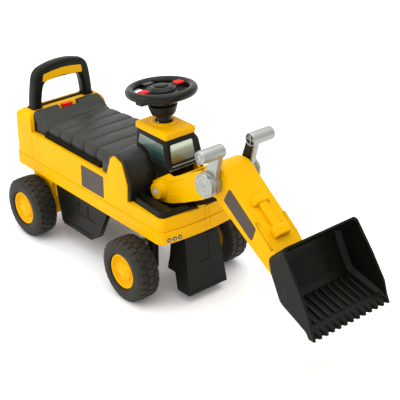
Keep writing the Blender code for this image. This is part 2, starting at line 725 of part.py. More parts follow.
def front_stabiliser(material):
    outline = [(272, 18), (236, 17), (226, 52), (203, 52), (208, 84), (209, 174), (245, 174), (247, 150),
               (247.5, 136), (252, 127)]

    def half(x, z):
        return 49 - 8 * (z - 18) / 131
    skirt = prism("front_stabiliser", "Y", outline, lambda x, z: -half(x, z), half)
    inner = [(266, 21), (239, 21), (229, 56), (208, 56), (213, 84), (213, 190), (240, 190), (243, 136)]
    cut(skirt, prism("inside", "Y", inner, lambda x, z: -half(x, z) + 4, lambda x, z: half(x, z) - 4))
    return finish(skirt, material)


# ---------------------------------------------------------------- arm

def boom_outline(inset=0.0):
    """The boom from the side; its front end is hollowed round the elbow."""
    reach = ELBOW_R + 1.5 + inset
    back = circle(BOOM_PIVOT, 25 - inset, 8, radians(152), radians(140))
    chin = [(206, 192 + inset), (245, 209.5 + inset), (296, 235.5 + inset), (306 - inset, 243 + inset)]
    front = circle(ELBOW, reach, 6, radians(238), radians(-80))
    return back + chin + front + [(207 + inset * 0.4, 249 - inset), (196 - inset * 0.4, 252 - inset)]


def boom_half(side, material):
    name = "boom_right" if side < 0 else "boom_left"
    def slab(label, outline, near, far):
        return prism(label, "Y", outline, *sorted((side * near, side * far)))
    half = slab(name, boom_outline(), GAP / 2, BOOM_HALF)
    cut(half, slab("inside", boom_outline(WALL), -5, BOOM_HALF - WALL))
    cut(half, slab("yoke", [(130, 150), (226, 150), (226, 300), (130, 300)], -5, 31.5))
    tongue = slab("tongue", circle(ELBOW, TONGUE_R, 10, radians(300), radians(180)) +
                  [(256, 262), (262, 226)], 13, 19.5)
    wall = slab("cross_wall", [(255, 226), (259, 228), (259, 272), (255, 270)], GAP / 2, BOOM_HALF - 1)
    fuse(half, tongue, wall)
    boss = turned("boss", "Y", BOOM_PIVOT, [(0, side * 31.6), (21, side * 31.6), (21, side * 38),
                                            (17, side * 42), (16, side * 47.5), (0, side * 47.5)], 24)
    fuse(half, boss)
    cut(half, rod("bore", "Y", BOOM_PIVOT, PIN_R + GAP, -60, 60, 20),
        rod("screw_recess", "Y", BOOM_PIVOT, 7.5, *sorted((side * 45, side * 60)), 20),
        rod("elbow_bore", "Y", ELBOW, PIN_R + GAP, -60, 60, 20),
        slab("side_panel", boom_panel(), BOOM_HALF - 1.2, BOOM_HALF + 5))
    return finish(half, material, (BOOM_PIVOT[0], 0, BOOM_PIVOT[1]))


def boom_panel():
    return rounded([(198, 209), (259, 232), (246, 260), (190, 231)], 4, 2)


def boom_cradle(material):
    """The black cover under the boom, between its cheeks."""
    outline = [(232, 211), (262, 205), (286, 216), (312, 233), (309, 240), (291, 231),
               (262, 224), (240, 214)]
    cradle = prism("boom_cradle", "Y", outline, -20, 20)
    cut(cradle, prism("boom_space", "Y", boom_outline(-GAP), -30, 30))
    return finish(cradle, material, (BOOM_PIVOT[0], 0, BOOM_PIVOT[1]))


def boom_pin(material):
    pin = rod("boom_pin", "Y", BOOM_PIVOT, PIN_R, -46, 46, 20)
    heads = [rod("head", "Y", BOOM_PIVOT, 6.8, *sorted((side * (45 + GAP), side * 47.2)), 20)
             for side in (-1, 1)]
    return finish(fuse(pin, *heads), material, (BOOM_PIVOT[0], 0, BOOM_PIVOT[1]))


STICK_TOP = ((351.0, 310.0), (481.0, 211.0))
STICK_BOTTOM = ((347.0, 241.0), (462.0, 169.0))


def stick_outline(inset=0.0):
    """The stick from the side: round elbow with a flat top, straight top and bottom, round nose."""
    top_angle = atan2(STICK_TOP[1][1] - STICK_TOP[0][1], STICK_TOP[1][0] - STICK_TOP[0][0])
    low_angle = atan2(STICK_BOTTOM[1][1] - STICK_BOTTOM[0][1], STICK_BOTTOM[1][0] - STICK_BOTTOM[0][0])
    low_normal = low_angle - pi / 2
    start = Vector(STICK_BOTTOM[0]) - Vector(ELBOW)
    depth = start.dot(Vector((cos(low_normal), sin(low_normal))))
    elbow_end = low_normal + 2 * pi + acos((depth - inset) / (ELBOW_R - inset))
    elbow = circle(ELBOW, ELBOW_R - inset, 12, pi / 2, elbow_end - pi / 2)
    nose = circle(BUCKET_PIVOT, NOSE_R - inset, 8, low_normal, pi + top_angle - low_angle)
    brow = [(351 - inset * 0.6, 310 - inset * 0.8), (344 - inset * 0.3, 314 - inset), (336, 315.2 - inset)]
    return elbow + nose + brow


def along_stick(distance, height):
    """A point a distance down the stick's top face and a height over it."""
    start, end = (Vector(p) for p in STICK_TOP)
    run = (end - start).normalized()
    spot = start + run * distance + Vector((-run.y, run.x)) * height
    return spot.x, spot.y


def stick_half(side, material):
    name = "stick_right" if side < 0 else "stick_left"
    def slab(label, outline, near, far):
        return prism(label, "Y", outline, *sorted((side * near, side * far)))
    def block(label, start, end, height, half):
        corners = [along_stick(start, -3), along_stick(end, -3), along_stick(end, height),
                   along_stick(start, height)]
        return slab(label, corners, GAP / 2, half)
    half = slab(name, stick_outline(), GAP / 2, STICK_HALF)
    fuse(half, block("upper_block", 62, 79, 10, 20), block("rod", 70, 140, 7, 8),
         block("lower_block", 129, 148, 11, 18))
    cut(half, slab("inside", stick_outline(WALL - 0.5), -5, STICK_HALF - WALL + 0.5))
    mouth = [ELBOW] + circle(ELBOW, 60, 8, radians(138), radians(134))
    cut(half, slab("mouth", mouth, -5, 21))
    fuse(half, rod("elbow_boss", "Y", ELBOW, 12, *sorted((side * 21, side * 32)), 20),
         rod("nose_boss", "Y", BUCKET_PIVOT, 12, *sorted((side * GAP / 2, side * 32)), 20))
    cut(half, rod("elbow_bore", "Y", ELBOW, PIN_R + GAP, -60, 60, 20),
        rod("nose_bore", "Y", BUCKET_PIVOT, PIN_R + GAP, -60, 60, 20))
    return finish(half, material, (ELBOW[0], 0, ELBOW[1]))


def stick_decal(side, material):
    name = "stick_decal_right" if side < 0 else "stick_decal_left"
    outline = rounded([(367, 285), (352, 256), (427, 203), (437, 232)], 4, 3)
    low, high = sorted((side * (STICK_HALF + GAP), side * (STICK_HALF + 1)))
    return finish(prism(name, "Y", outline, low, high), material, (ELBOW[0], 0, ELBOW[1]))


LEVER_TOP = (344.5, 353.0)


def lever(side, material):
    name = "lever_right" if side < 0 else "lever_left"
    def span(near, far):
        return sorted((side * near, side * far))
    hub = turned(name, "Y", ELBOW, [(0, side * (STICK_HALF + GAP)), (24, side * (STICK_HALF + GAP)),
                                    (24, side * 59), (22.5, side * 61), (0, side * 61)], 32)
    run = Vector(LEVER_TOP) - Vector(ELBOW)
    across = Vector((-run.y, run.x)).normalized()
    arm = [tuple(Vector(ELBOW) + across * 14), tuple(Vector(ELBOW) - across * 14),
           tuple(Vector(LEVER_TOP) - across * 12), tuple(Vector(LEVER_TOP) + across * 12)]
    grip = rod("grip", "Y", LEVER_TOP, 13, *span(33.6, 86.9), 28)
    fuse(hub, prism("arm", "Y", arm, *span(37, 50)), grip)
    cut(hub, rod("pin_hole", "Y", ELBOW, PIN_R + GAP, *span(20, 57), 20),
        rod("grip_hole", "Y", LEVER_TOP, 10.5, *span(20, 36), 24))
    return finish(hub, material, (ELBOW[0], 0, ELBOW[1]), smooth=True)


def elbow_pin(material):
    return finish(rod("elbow_pin", "Y", ELBOW, PIN_R, -56, 56, 20), material, (ELBOW[0], 0, ELBOW[1]))


TOOTH_PITCH = 15.5


def bucket(material):
    lip, rim = (638.0, 141.0), (557.0, 265.0)
    outer = [rim, (519, 229), (526, 204), (552, 158), (562, 153), (624, 135), (632, 127),
             TOOTH_TIP, lip, (629.5, 166), (600, 210)]

    def width(x, z):
        """The sides close in towards the back."""
        depth = max(0.0, (620 - x) * 0.9 + (200 - z) * 0.15)
        return BUCKET_HALF - min(depth, 95) * 0.09
    pan = prism("bucket", "Y", outer, lambda x, z: -width(x, z), width)
    inner = [(700, 330), (556, 259), (523, 228), (530, 206), (554, 163), (563, 157), (627, 139.5),
             (700, 130)]
    cut(pan, prism("inside", "Y", inner, lambda x, z: -width(x, z) + 3.5,
                   lambda x, z: width(x, z) - 3.5))
    ear = circle(BUCKET_PIVOT, 13, 8, radians(90), radians(180)) + [(540, 146), (556, 160), (532, 205),
                                                                     (522, 214)]
    for side in (-1, 1):
        low, high = sorted((side * (STICK_HALF + GAP + 0.4), side * 41))
        lug = cut(prism("ear", "Y", ear, low, high),
                  prism("keep", "Y", [(700, 330), (540, 330), (523, 228), (530, 206), (554, 163),
                                      (563, 157), (627, 139.5), (700, 130)], -60, 60))
        fuse(pan, lug)
    cut(pan, rod("bore", "Y", BUCKET_PIVOT, PIN_R + GAP, -60, 60, 20))
    for i in range(12):
        y = (i - 5.5) * TOOTH_PITCH
        cut(pan, box("notch", (636.5, 660), (y - 2.5, y + 2.5), (115, 136)))
    return finish(pan, material, (BUCKET_PIVOT[0], 0, BUCKET_PIVOT[1]))


def bucket_pin(material):
    return finish(rod("bucket_pin", "Y", BUCKET_PIVOT, PIN_R, -42, 42, 20), material,
                  (BUCKET_PIVOT[0], 0, BUCKET_PIVOT[1]))


# ---------------------------------------------------------------- assembly

def build():
    for obj in list(bpy.data.objects):
        bpy.data.objects.remove(obj)
    yellow = paint("yellow_moulding", (1.0, 0.55, 0.0), 0.35)
    black = paint("black_moulding", (0.03, 0.03, 0.027), 0.5)
    rubber = paint("tyre_black", (0.035, 0.035, 0.03), 0.7)
    silver = paint("silver_moulding", (0.42, 0.43, 0.42), 0.35, 0.6)
    steel = paint("steel", (0.6, 0.6, 0.6), 0.3, 1.0)
    red = paint("red_moulding", (0.9, 0.03, 0.02), 0.35)
    glass = paint("window_tint", (0.05, 0.12, 0.1), 0.1)
    badge = paint("badge_grey", (0.09, 0.075, 0.06), 0.45)
    grey = paint("lamp_grey", (0.3, 0.3, 0.3), 0.4)

    body_shell(yellow)
    storage_tub(black)
    seat_lid(black)
    seat_hinge_pin(steel)
    seat_latch(red)
    latch_spring(steel)
    push_handle(black)
    handle_inlay(yellow)
    front_cowl(black)
    deck_tray(black)
    cab_frame(black)
    front_window(glass)
    cab_roof(yellow)
    steering_column(black)
    column_screw(steel)
    steering_cup(black)
    steering_wheel(black)
    horn_cap(black)
    steering_crank(steel)
    tie_rod(steel)
    rear_axle(steel)
    rear_axle_housing(yellow)
    front_axle_housing(yellow)
    front_stabiliser(black)
    lamp_cluster(grey)
    boom_cradle(black)
    boom_pin(steel)
    elbow_pin(steel)
    bucket(black)
    bucket_pin(steel)
    for side, hand in ((-1, "right"), (1, "left")):
        side_badge(side, badge)
        side_window(side, glass)
        wheel_button(side, red)
        king_pin(side, steel)
        knuckle(side, black)
        stub_axle(side, steel)
        boom_half(side, yellow)
        stick_half(side, yellow)
        stick_decal(side, badge)
        lever(side, silver)
        for end, x in (("front", AXLE_X), ("rear", -AXLE_X)):
            tyre(f"tyre_{end}_{hand}", side, x, rubber, end == "front")
            wheel_hub(f"hub_{end}_{hand}", side, x, yellow, end == "front")


build()
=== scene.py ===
"""Looks of the ride-on digger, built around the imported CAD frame.

Sizes are in millimetres on the toy's own design axes: X to the front, Y to the rider's left, Z up,
with the floor at Z 0. The scene is in metres, with its X zero at the middle of the toy, which is
MIDDLE_X on the design axis.
"""

import json
from math import copysign, cos, exp, pi, radians, sin, sqrt, tau

import bmesh
import bpy
from mathutils import Matrix, Vector

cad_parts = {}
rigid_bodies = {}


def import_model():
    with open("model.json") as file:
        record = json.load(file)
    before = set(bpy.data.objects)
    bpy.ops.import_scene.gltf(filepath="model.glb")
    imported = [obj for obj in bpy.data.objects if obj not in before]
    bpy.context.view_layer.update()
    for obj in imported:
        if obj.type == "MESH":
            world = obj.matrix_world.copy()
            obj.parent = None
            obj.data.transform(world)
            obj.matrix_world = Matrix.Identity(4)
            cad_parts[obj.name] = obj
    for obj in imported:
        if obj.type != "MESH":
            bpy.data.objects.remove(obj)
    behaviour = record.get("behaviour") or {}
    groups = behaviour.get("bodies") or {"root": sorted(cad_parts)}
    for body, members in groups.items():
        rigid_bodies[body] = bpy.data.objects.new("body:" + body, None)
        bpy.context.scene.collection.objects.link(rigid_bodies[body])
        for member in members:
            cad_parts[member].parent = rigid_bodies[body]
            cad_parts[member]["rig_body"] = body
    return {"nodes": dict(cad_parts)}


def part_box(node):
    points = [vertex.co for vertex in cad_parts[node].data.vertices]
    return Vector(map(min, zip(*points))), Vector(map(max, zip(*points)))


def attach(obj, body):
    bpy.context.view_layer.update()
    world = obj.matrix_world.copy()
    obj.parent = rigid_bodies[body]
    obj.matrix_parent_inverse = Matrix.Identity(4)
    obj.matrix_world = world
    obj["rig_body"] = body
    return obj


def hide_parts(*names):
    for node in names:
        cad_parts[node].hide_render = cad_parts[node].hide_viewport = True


for leftover in list(bpy.data.objects):
    bpy.data.objects.remove(leftover)

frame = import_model()
nodes = frame["nodes"]
body_of = {node: piece["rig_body"] for node, piece in nodes.items()}
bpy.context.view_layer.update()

MM = 0.001
MIDDLE_X = 192.5
CAMERA_AZIMUTH = 49.33
CAMERA_ELEVATION = 27.45
CAMERA_DISTANCE = 2112.3
CAMERA_TARGET = (246.2, 0, 203.4)
LENS = 99.6
BRIGHT_SIDE = (-0.25, -0.35, 0.9)
WORLD_STRENGTH = 1.35
WORLD_TONES = (-0.6, 1.0, 0.36, 1.3)
LIT_POINT = (0, 0, 0.2)
FLOOR_REACH = 12
FLOOR_TONE = (0.93, 0.93, 0.93, 1)


def at(x, y, z):
    """A point of the design axes in the scene."""
    return Vector(((x - MIDDLE_X) * MM, y * MM, z * MM))


# ---------------- camera, floor and light


def camera():
    """A long lens at the viewing angle; the angles are in degrees and the distance in millimetres."""
    azimuth, elevation = radians(CAMERA_AZIMUTH), radians(CAMERA_ELEVATION)
    toward = Vector((-sin(azimuth) * cos(elevation), cos(azimuth) * cos(elevation),
                     -sin(elevation)))
    data = bpy.data.cameras.new("camera")
    data.lens = LENS
    data.sensor_width = 36
    data.clip_end = 50
    view = bpy.data.objects.new("camera", data)
    view.location = at(*CAMERA_TARGET) - toward * CAMERA_DISTANCE * MM
    view.rotation_euler = toward.to_track_quat("-Z", "Y").to_euler()
    bpy.context.scene.collection.objects.link(view)
    bpy.context.scene.camera = view


def softbox(name, place, size, power):
    """A square area light of a size in metres and a power in watts, turned to the toy."""
    data = bpy.data.lights.new(name, "AREA")
    data.shape = "RECTANGLE"
    data.size, data.size_y = size, size
    data.energy = power
    lamp = bpy.data.objects.new(name, data)
    lamp.location = place
    lamp.rotation_euler = (Vector(LIT_POINT) - Vector(place)).to_track_quat("-Z", "Y").to_euler()
    bpy.context.scene.collection.objects.link(lamp)


def map_range(tree, start, end, low, high):
    """A node that takes start..end to low..high."""
    node = tree.nodes.new("ShaderNodeMapRange")
    for socket, number in zip(("From Min", "From Max", "To Min", "To Max"), (start, end, low, high)):
        node.inputs[socket].default_value = number
    return node


def world():
    """A plain grey surround, brighter towards BRIGHT_SIDE."""
    surround = bpy.data.worlds.new("studio")
    surround.use_nodes = True
    tree = surround.node_tree
    background = tree.nodes["Background"]
    background.inputs["Strength"].default_value = WORLD_STRENGTH
    direction = tree.nodes.new("ShaderNodeTexCoord").outputs["Generated"]
    slant = tree.nodes.new("ShaderNodeVectorMath")
    slant.operation = "DOT_PRODUCT"
    slant.inputs[1].default_value = BRIGHT_SIDE
    tree.links.new(direction, slant.inputs[0])
    shade = map_range(tree, *WORLD_TONES)
    tree.links.new(slant.outputs["Value"], shade.inputs["Value"])
    tree.links.new(shade.outputs["Result"], background.inputs["Color"])
    bpy.context.scene.world = surround
    bpy.context.scene.view_settings.view_transform = "Standard"


def floor():
    mesh = bpy.data.meshes.new("floor")
    reach = FLOOR_REACH
    mesh.from_pydata([(-reach, -reach, 0), (reach, -reach, 0), (reach, reach, 0), (-reach, reach, 0)], [],
                     [(0, 1, 2, 3)])
    ground = bpy.data.objects.new("floor", mesh)
    bpy.context.scene.collection.objects.link(ground)
    paint = bpy.data.materials.new("floor_paint")
    paint.use_nodes = True
    shader = paint.node_tree.nodes["Principled BSDF"]
    shader.inputs["Base Color"].default_value = FLOOR_TONE
    shader.inputs["Roughness"].default_value = 0.9
    shader.inputs["Specular IOR Level"].default_value = 0.1
    mesh.materials.append(paint)


# ---------------- materials

EDGE_RADIUS = 0.0008


class Paint:
    """A node material being wired up: a Principled shader with its object coordinates at hand."""

    def __init__(self, name, roughness, metallic=0.0, specular=0.5, coat=0.0, coat_roughness=0.2):
        self.material = bpy.data.materials.new(name)
        self.material.use_nodes = True
        self.tree = self.material.node_tree
        self.shader = self.tree.nodes["Principled BSDF"]
        self.put("Roughness", roughness)
        self.put("Metallic", metallic)
        self.put("Specular IOR Level", specular)
        self.put("Coat Weight", coat)
        self.put("Coat Roughness", coat_roughness)
        self.where = self.add("TexCoord").outputs["Object"]
        self.edge = self.add("Bevel", Radius=EDGE_RADIUS)
        self.edge.samples = 4

    def put(self, socket, value):
        self.shader.inputs[socket].default_value = value

    def add(self, kind, **inputs):
        node = self.tree.nodes.new("ShaderNode" + kind)
        for socket, value in inputs.items():
            node.inputs[socket].default_value = value
        return node

    def link(self, out, into):
        self.tree.links.new(out, into)

    def noise(self, scale, detail, rough=0.5):
        cloud = self.add("TexNoise", Scale=scale, Detail=detail, Roughness=rough)
        self.link(self.where, cloud.inputs["Vector"])
        return cloud.outputs["Fac"]

    def ramp(self, value, stops):
        """Colour along value, from (position, colour) stops."""
        scale = self.add("ValToRGB")
        scale.color_ramp.interpolation = "EASE"
        elements = scale.color_ramp.elements
        while len(elements) < len(stops):
            elements.new(0.5)
        for element, (position, colour) in zip(elements, stops):
            element.position = position
            element.color = (*colour, 1)
        self.link(value, scale.inputs["Fac"])
        return scale.outputs["Color"]

    def span(self, value, low, high, start, end):
        mapped = map_range(self.tree, start, end, low, high)
        self.link(value, mapped.inputs["Value"])
        return mapped.outputs["Result"]

    def bump(self, *layers):
        """Stacks (height, strength, distance) layers on the normal; the distance is in millimetres."""
        normal = self.edge.outputs["Normal"]
        for height, strength, distance in layers:
            layer = self.add("Bump", Strength=strength, Distance=distance * MM)
            self.link(height, layer.inputs["Height"])
            self.link(normal, layer.inputs["Normal"])
            normal = layer.outputs["Normal"]
        self.link(normal, self.shader.inputs["Normal"])


def linear(red, green, blue):
    """sRGB 0-255 to the linear colour that shaders take."""
    shares = [c / 255 for c in (red, green, blue)]
    return tuple(c / 12.92 if c <= 10 / 255 else ((c + 0.055) / 1.055) ** 2.4 for c in shares)


def moulding(name, colour, dull, roughness, grain, variation, coat=0.0, specular=0.5, metallic=0.0):
    """Moulded plastic: a little flow mottling, fine moulding grain, and rubbed patches that shine more."""
    paint = Paint(name, roughness, metallic=metallic, specular=specular, coat=coat)
    flow = paint.noise(14, 4)
    paint.link(paint.ramp(flow, [(0.35, dull), (0.62, colour)]), paint.shader.inputs["Base Color"])
    rubbed = paint.noise(55, 5, rough=0.6)
    paint.link(paint.span(rubbed, roughness - variation, roughness + variation, 0.3, 0.7),
               paint.shader.inputs["Roughness"])
    paint.bump((paint.noise(2400, 2), grain, 0.05), (paint.noise(9, 2), 0.12, 0.4))
    return paint.material


# Colour, its duller flow tone (both sRGB 0-255), roughness, grain, roughness variation, and options.
MOULDINGS = {
    "yellow_moulding": ((223, 166, 0), (220, 162, 0), 0.32, 0.08, 0.05, {"specular": 0.05}),
    "black_moulding": ((22, 22, 16), (18, 18, 13), 0.34, 0.2, 0.06, {"specular": 0.12}),
    "tyre": ((36, 35, 28), (30, 29, 24), 0.55, 0.3, 0.06, {"specular": 0.2}),
    "silver_moulding": ((158, 161, 155), (155, 158, 152), 0.3, 0.02, 0.01, {"metallic": 0.7}),
    "steel": ((200, 200, 200), (186, 186, 188), 0.28, 0.05, 0.05, {}),
    "red_moulding": ((236, 22, 14), (228, 18, 12), 0.34, 0.1, 0.05, {"specular": 0.2}),
    "window_tint": ((60, 84, 76), (52, 76, 70), 0.2, 0.02, 0.03, {"coat": 0.6}),
    "badge_print": ((74, 65, 57), (70, 62, 54), 0.45, 0.08, 0.05, {"specular": 0.2}),
    "lamp_grey": ((160, 160, 162), (150, 150, 152), 0.35, 0.05, 0.05, {}),
    "lamp_ring": ((62, 62, 64), (54, 54, 56), 0.3, 0.05, 0.05, {}),
    "seat": ((42, 42, 36), (38, 38, 33), 0.42, 0.3, 0.05, {"specular": 0.25}),
    "lens": ((206, 208, 212), (196, 198, 204), 0.2, 0.02, 0.04, {"coat": 0.4}),
    # Light grey for the two black ledges under the front window: a painted highlight along their edges.
    "ledge": ((120, 120, 112), (104, 104, 98), 0.34, 0.05, 0.05, {}),
    "bucket_black": ((18, 18, 12), (14, 14, 9), 0.28, 0.08, 0.04, {"specular": 0.10}),
    "wheel_black": ((15, 15, 11), (12, 12, 9), 0.24, 0.12, 0.05, {"specular": 0.2}),
    "gloss_black": ((34, 34, 29), (30, 30, 25), 0.34, 0.06, 0.02, {"specular": 0.25}),
}
# Window tones from foot to top: the dark low stops are the tint, and the pale upper stops are painted
# reflection of the bright surround.
SIDE_TINT_AND_REFLECTION = [(0.1, (12, 20, 18)), (0.55, (26, 50, 48)), (0.85, (60, 84, 76)), (1.0, (96, 110, 100))]
WINDOW_TINT_AND_REFLECTION = {
    "window_right": SIDE_TINT_AND_REFLECTION,
    "window_left": SIDE_TINT_AND_REFLECTION,
    "window_front": [(0.1, (46, 50, 34)), (0.4, (92, 90, 58)), (0.7, (120, 130, 108)),
                     (1.0, (196, 212, 190))],
}


def window_paint(name, tones):
    """Glossy tinted plastic, dark at its foot and paler towards its top: the dark foot is its own tint, and
    the paling upward is a painted reflection.
    """
    low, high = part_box(name)
    paint = Paint(name, 0.22, specular=0.5, coat=0.6, coat_roughness=0.08)
    parts = paint.add("SeparateXYZ")
    paint.link(paint.where, parts.inputs["Vector"])
    height = paint.span(parts.outputs["Z"], 0, 1, low.z, high.z)
    sway = paint.add("Math")
    sway.operation = "MULTIPLY_ADD"
    paint.link(paint.noise(16, 1), sway.inputs[0])
    sway.inputs[1].default_value = 0.25
    paint.link(height, sway.inputs[2])
    stops = [(position, linear(*tone)) for position, tone in tones]
    paint.link(paint.ramp(sway.outputs[0], stops), paint.shader.inputs["Base Color"])
    paint.bump((paint.noise(1800, 2), 0.03, 0.03))
    return paint.material


def all_paints():
    paints = {}
    for name, (colour, dull, roughness, grain, variation, options) in MOULDINGS.items():
        tones = linear(*colour), linear(*dull)
        paints[name] = moulding(name, *tones, roughness, grain, variation, **options)
    for name, tones in WINDOW_TINT_AND_REFLECTION.items():
        paints[name] = window_paint(name, tones)
    return paints


# ---------------- mesh making

YELLOW, BLACK = "yellow_moulding", "black_moulding"

CLOSE = 0.002 * MM
MELT_ANGLE = 0.6
CORNER_STEPS = 4


def new_object(name, mesh):
    piece = bpy.data.objects.new(name, mesh)
    bpy.context.scene.collection.objects.link(piece)
    return piece


def made(name, points, faces):
    """A closed mesh through points of the design axes, its faces turned outward."""
    mesh = bpy.data.meshes.new(name)
    mesh.from_pydata([at(*p) for p in points], [], faces)
    work = bmesh.new()
    work.from_mesh(mesh)
    bmesh.ops.remove_doubles(work, verts=work.verts, dist=CLOSE)
    bmesh.ops.recalc_face_normals(work, faces=work.faces)
    if work.calc_volume(signed=True) < 0:
        bmesh.ops.reverse_faces(work, faces=work.faces)
    work.to_mesh(mesh)
    work.free()
    return new_object(name, mesh)


def loft(name, rings, closed=False):
    """Rings of equal counts joined in turn; the ends are capped, or the last ring meets the first."""
    count = len(rings[0])
    points = [p for ring in rings for p in ring]
    faces = []
    for i in range(len(rings) if closed else len(rings) - 1):
        a, b = i * count, (i + 1) % len(rings) * count
        faces += [(a + j, a + (j + 1) % count, b + (j + 1) % count, b + j) for j in range(count)]
    if not closed:
        last = (len(rings) - 1) * count
        faces += [tuple(range(count)), tuple(range(last, last + count))]
    return made(name, points, faces)


def lifted(axis, pair, along):
    """A point of a plane across the axis, set along it."""
    a, b = pair
    return {"X": (along, a, b), "Y": (a, along, b), "Z": (a, b, along)}[axis]


def prism(name, axis, outline, low, high):
    """An outline drawn out along an axis."""
    return loft(name, [[lifted(axis, p, s) for p in outline] for s in (low, high)])


def block(name, x, y, z):
    """A box between two places on each axis."""
    return prism(name, "Z", [(x[0], y[0]), (x[1], y[0]), (x[1], y[1]), (x[0], y[1])], *z)


def turned(name, axis, centre, profile, steps=64):
    """A profile of (radius, place along the axis) turned about an axis through centre."""
    rings = []
    for k in range(steps):
        c, s = cos(tau * k / steps), sin(tau * k / steps)
        rings.append([lifted(axis, (centre[0] + r * c, centre[1] + r * s), along) for r, along in profile])
    return loft(name, rings, closed=True)


def arc(centre, radius, start, sweep, steps=8):
    """Points round a centre, by degrees."""
    turns = [radians(start + sweep * i / steps) for i in range(steps + 1)]
    return [(centre[0] + radius * cos(t), centre[1] + radius * sin(t)) for t in turns]


def around(centre, radius, count, offset):
    """Places spaced evenly on a circle, the first at offset of a step."""
    turns = [tau * (k + offset) / count for k in range(count)]
    return [(centre[0] + radius * cos(t), centre[1] + radius * sin(t)) for t in turns]


def turned_out(name, centre, side, profile, steps):
    """A profile turned about Y, its places counted outward from the middle on one side."""
    return turned(name, "Y", centre, [(r, side * w) for r, w in profile], steps)


def outward(side, inner, outer):
    """Two places counted outward on one side, as a rising pair."""
    return sorted((side * inner, side * outer))


def rounded(outline, radius, steps=CORNER_STEPS):
    """The outline with each corner turned into a small arc."""
    result = []
    for i, corner in enumerate(outline):
        corner = Vector(corner)
        before, after = Vector(outline[i - 1]) - corner, Vector(outline[(i + 1) % len(outline)]) - corner
        reach = min(radius, before.length * 0.45, after.length * 0.45)
        a, b = corner + before.normalized() * reach, corner + after.normalized() * reach
        for k in range(steps + 1):
            t = k / steps
            result.append(tuple(a * (1 - t) ** 2 + corner * 2 * t * (1 - t) + b * t ** 2))
    return result


def smooth_line(points):
    """A Catmull-Rom line through the points."""
    steps = 4
    result = []
    padded = [points[0]] + list(points) + [points[-1]]
    for i in range(1, len(padded) - 2):
        p0, p1, p2, p3 = (Vector(p) for p in padded[i - 1:i + 3])
        for k in range(steps):
            t = k / steps
            result.append(tuple(0.5 * (2 * p1 + (p2 - p0) * t + (2 * p0 - 5 * p1 + 4 * p2 - p3) * t ** 2 +
                                       (3 * p1 - p0 - 3 * p2 + p3) * t ** 3)))
    return result + [tuple(points[-1])]


def mirrored(outline):
    """A half outline, listed from the far side to the middle, completed on the other side."""
    return list(outline) + [(-a, b) for a, b in reversed(outline)]


def settle(piece):
    """Applies every modifier."""
    graph = bpy.context.evaluated_depsgraph_get()
    mesh = bpy.data.meshes.new_from_object(piece.evaluated_get(graph), preserve_all_data_layers=True,
                                           depsgraph=graph)
    piece.modifiers.clear()
    piece.data = mesh


def joined(name, *pieces):
    """The pieces as one mesh, side by side."""
    work = bmesh.new()
    for piece in pieces:
        work.from_mesh(piece.data)
        bpy.data.objects.remove(piece)
    mesh = bpy.data.meshes.new(name)
    work.to_mesh(mesh)
    work.free()
    return new_object(name, mesh)


def cut(piece, *tools):
    """Takes each tool out of the piece, and the tool is used up."""
    for tool in tools:
        step = piece.modifiers.new("step", "BOOLEAN")
        step.operation = "DIFFERENCE"
        step.solver = "EXACT"
        step.object = tool
        settle(piece)
        bpy.data.objects.remove(tool)
    return piece


def tidy(piece):
    """Welds the mesh and melts its flat triangles into whole faces."""
    work = bmesh.new()
    work.from_mesh(piece.data)
    bmesh.ops.remove_doubles(work, verts=work.verts, dist=CLOSE)
    bmesh.ops.dissolve_limit(work, angle_limit=radians(MELT_ANGLE), verts=work.verts,
                              edges=work.edges)
    work.to_mesh(piece.data)
    work.free()
    return piece


def fine_copy(node):
    """A CAD node's mesh as a new piece, ready for finer work."""
    return tidy(new_object(node + "_fine", nodes[node].data.copy()))


def soften(piece, width, angle=30, segments=3, clamp=False):
    """Rounds the edges sharper than angle by width; clamp keeps narrow faces from crossing."""
    tidy(piece)
    bevel = piece.modifiers.new("bevel", "BEVEL")
    bevel.width = width * MM
    bevel.segments = segments
    bevel.limit_method = "ANGLE"
    bevel.angle_limit = radians(angle)
    bevel.use_clamp_overlap = clamp
    bevel.miter_outer = "MITER_ARC"
    settle(piece)
    return piece


def show(piece, slot, body, *replaced, sharp=40, paint=None):
    """Paints the piece, shades it smooth between its sharp edges, and rides it on its body."""
    mesh = piece.data
    mesh.materials.clear()
    mesh.materials.append(PAINTS[paint or slot])
    for face in mesh.polygons:
        face.use_smooth = True
        face.material_index = 0
    mesh.set_sharp_from_angle(angle=radians(sharp))
    weighted = piece.modifiers.new("weighted", "WEIGHTED_NORMAL")
    weighted.keep_sharp = True
    settle(piece)
    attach(piece, body)
    if replaced:
        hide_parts(*replaced)
    return piece


def show_cad(piece, node, slot, **options):
    """Shows the piece in place of a CAD node, on that node's body."""
    return show(piece, slot, body_of[node], node, **options)


# ---------------- wheels

TYRE_R, TREAD_DEPTH, TYRE_WIDTH = 65.0, 2.3, 51.0
LUGS = 26
LUG_GAP = 0.2
TREAD_HALF = 20
CHANNEL_IN, CHANNEL_OUT, CHANNEL_DEPTH = 7.2, 9.4, 0.8
# Places across the tread, the edges of its gaps and the rings of one lug, as shares of its pitch.
TREAD_LINES = (19.6, 18.8, 9.9, 9.2, 7.4, 6.8, 0.6)
GAP_EDGES = (0.0, 0.2, 0.5, 0.7)
LUG_MARKS = (0.0, 0.03, 0.1, 0.17, 0.2, 0.35, 0.5, 0.53, 0.6, 0.67, 0.7, 0.85)


def in_channel(across):
    return CHANNEL_IN < abs(across) < CHANNEL_OUT


def tread(across, turn):
    """How deep the tread is cut, from 0 to 1, at a place across the tyre and a share of one lug pitch."""
    if abs(across) > TREAD_HALF:
        return 0.0
    if in_channel(across):
        return CHANNEL_DEPTH
    offset = 0.5 if abs(across) < CHANNEL_IN + 0.8 else 0.0
    return 1.0 if (turn + offset) % 1 < LUG_GAP else 0.0


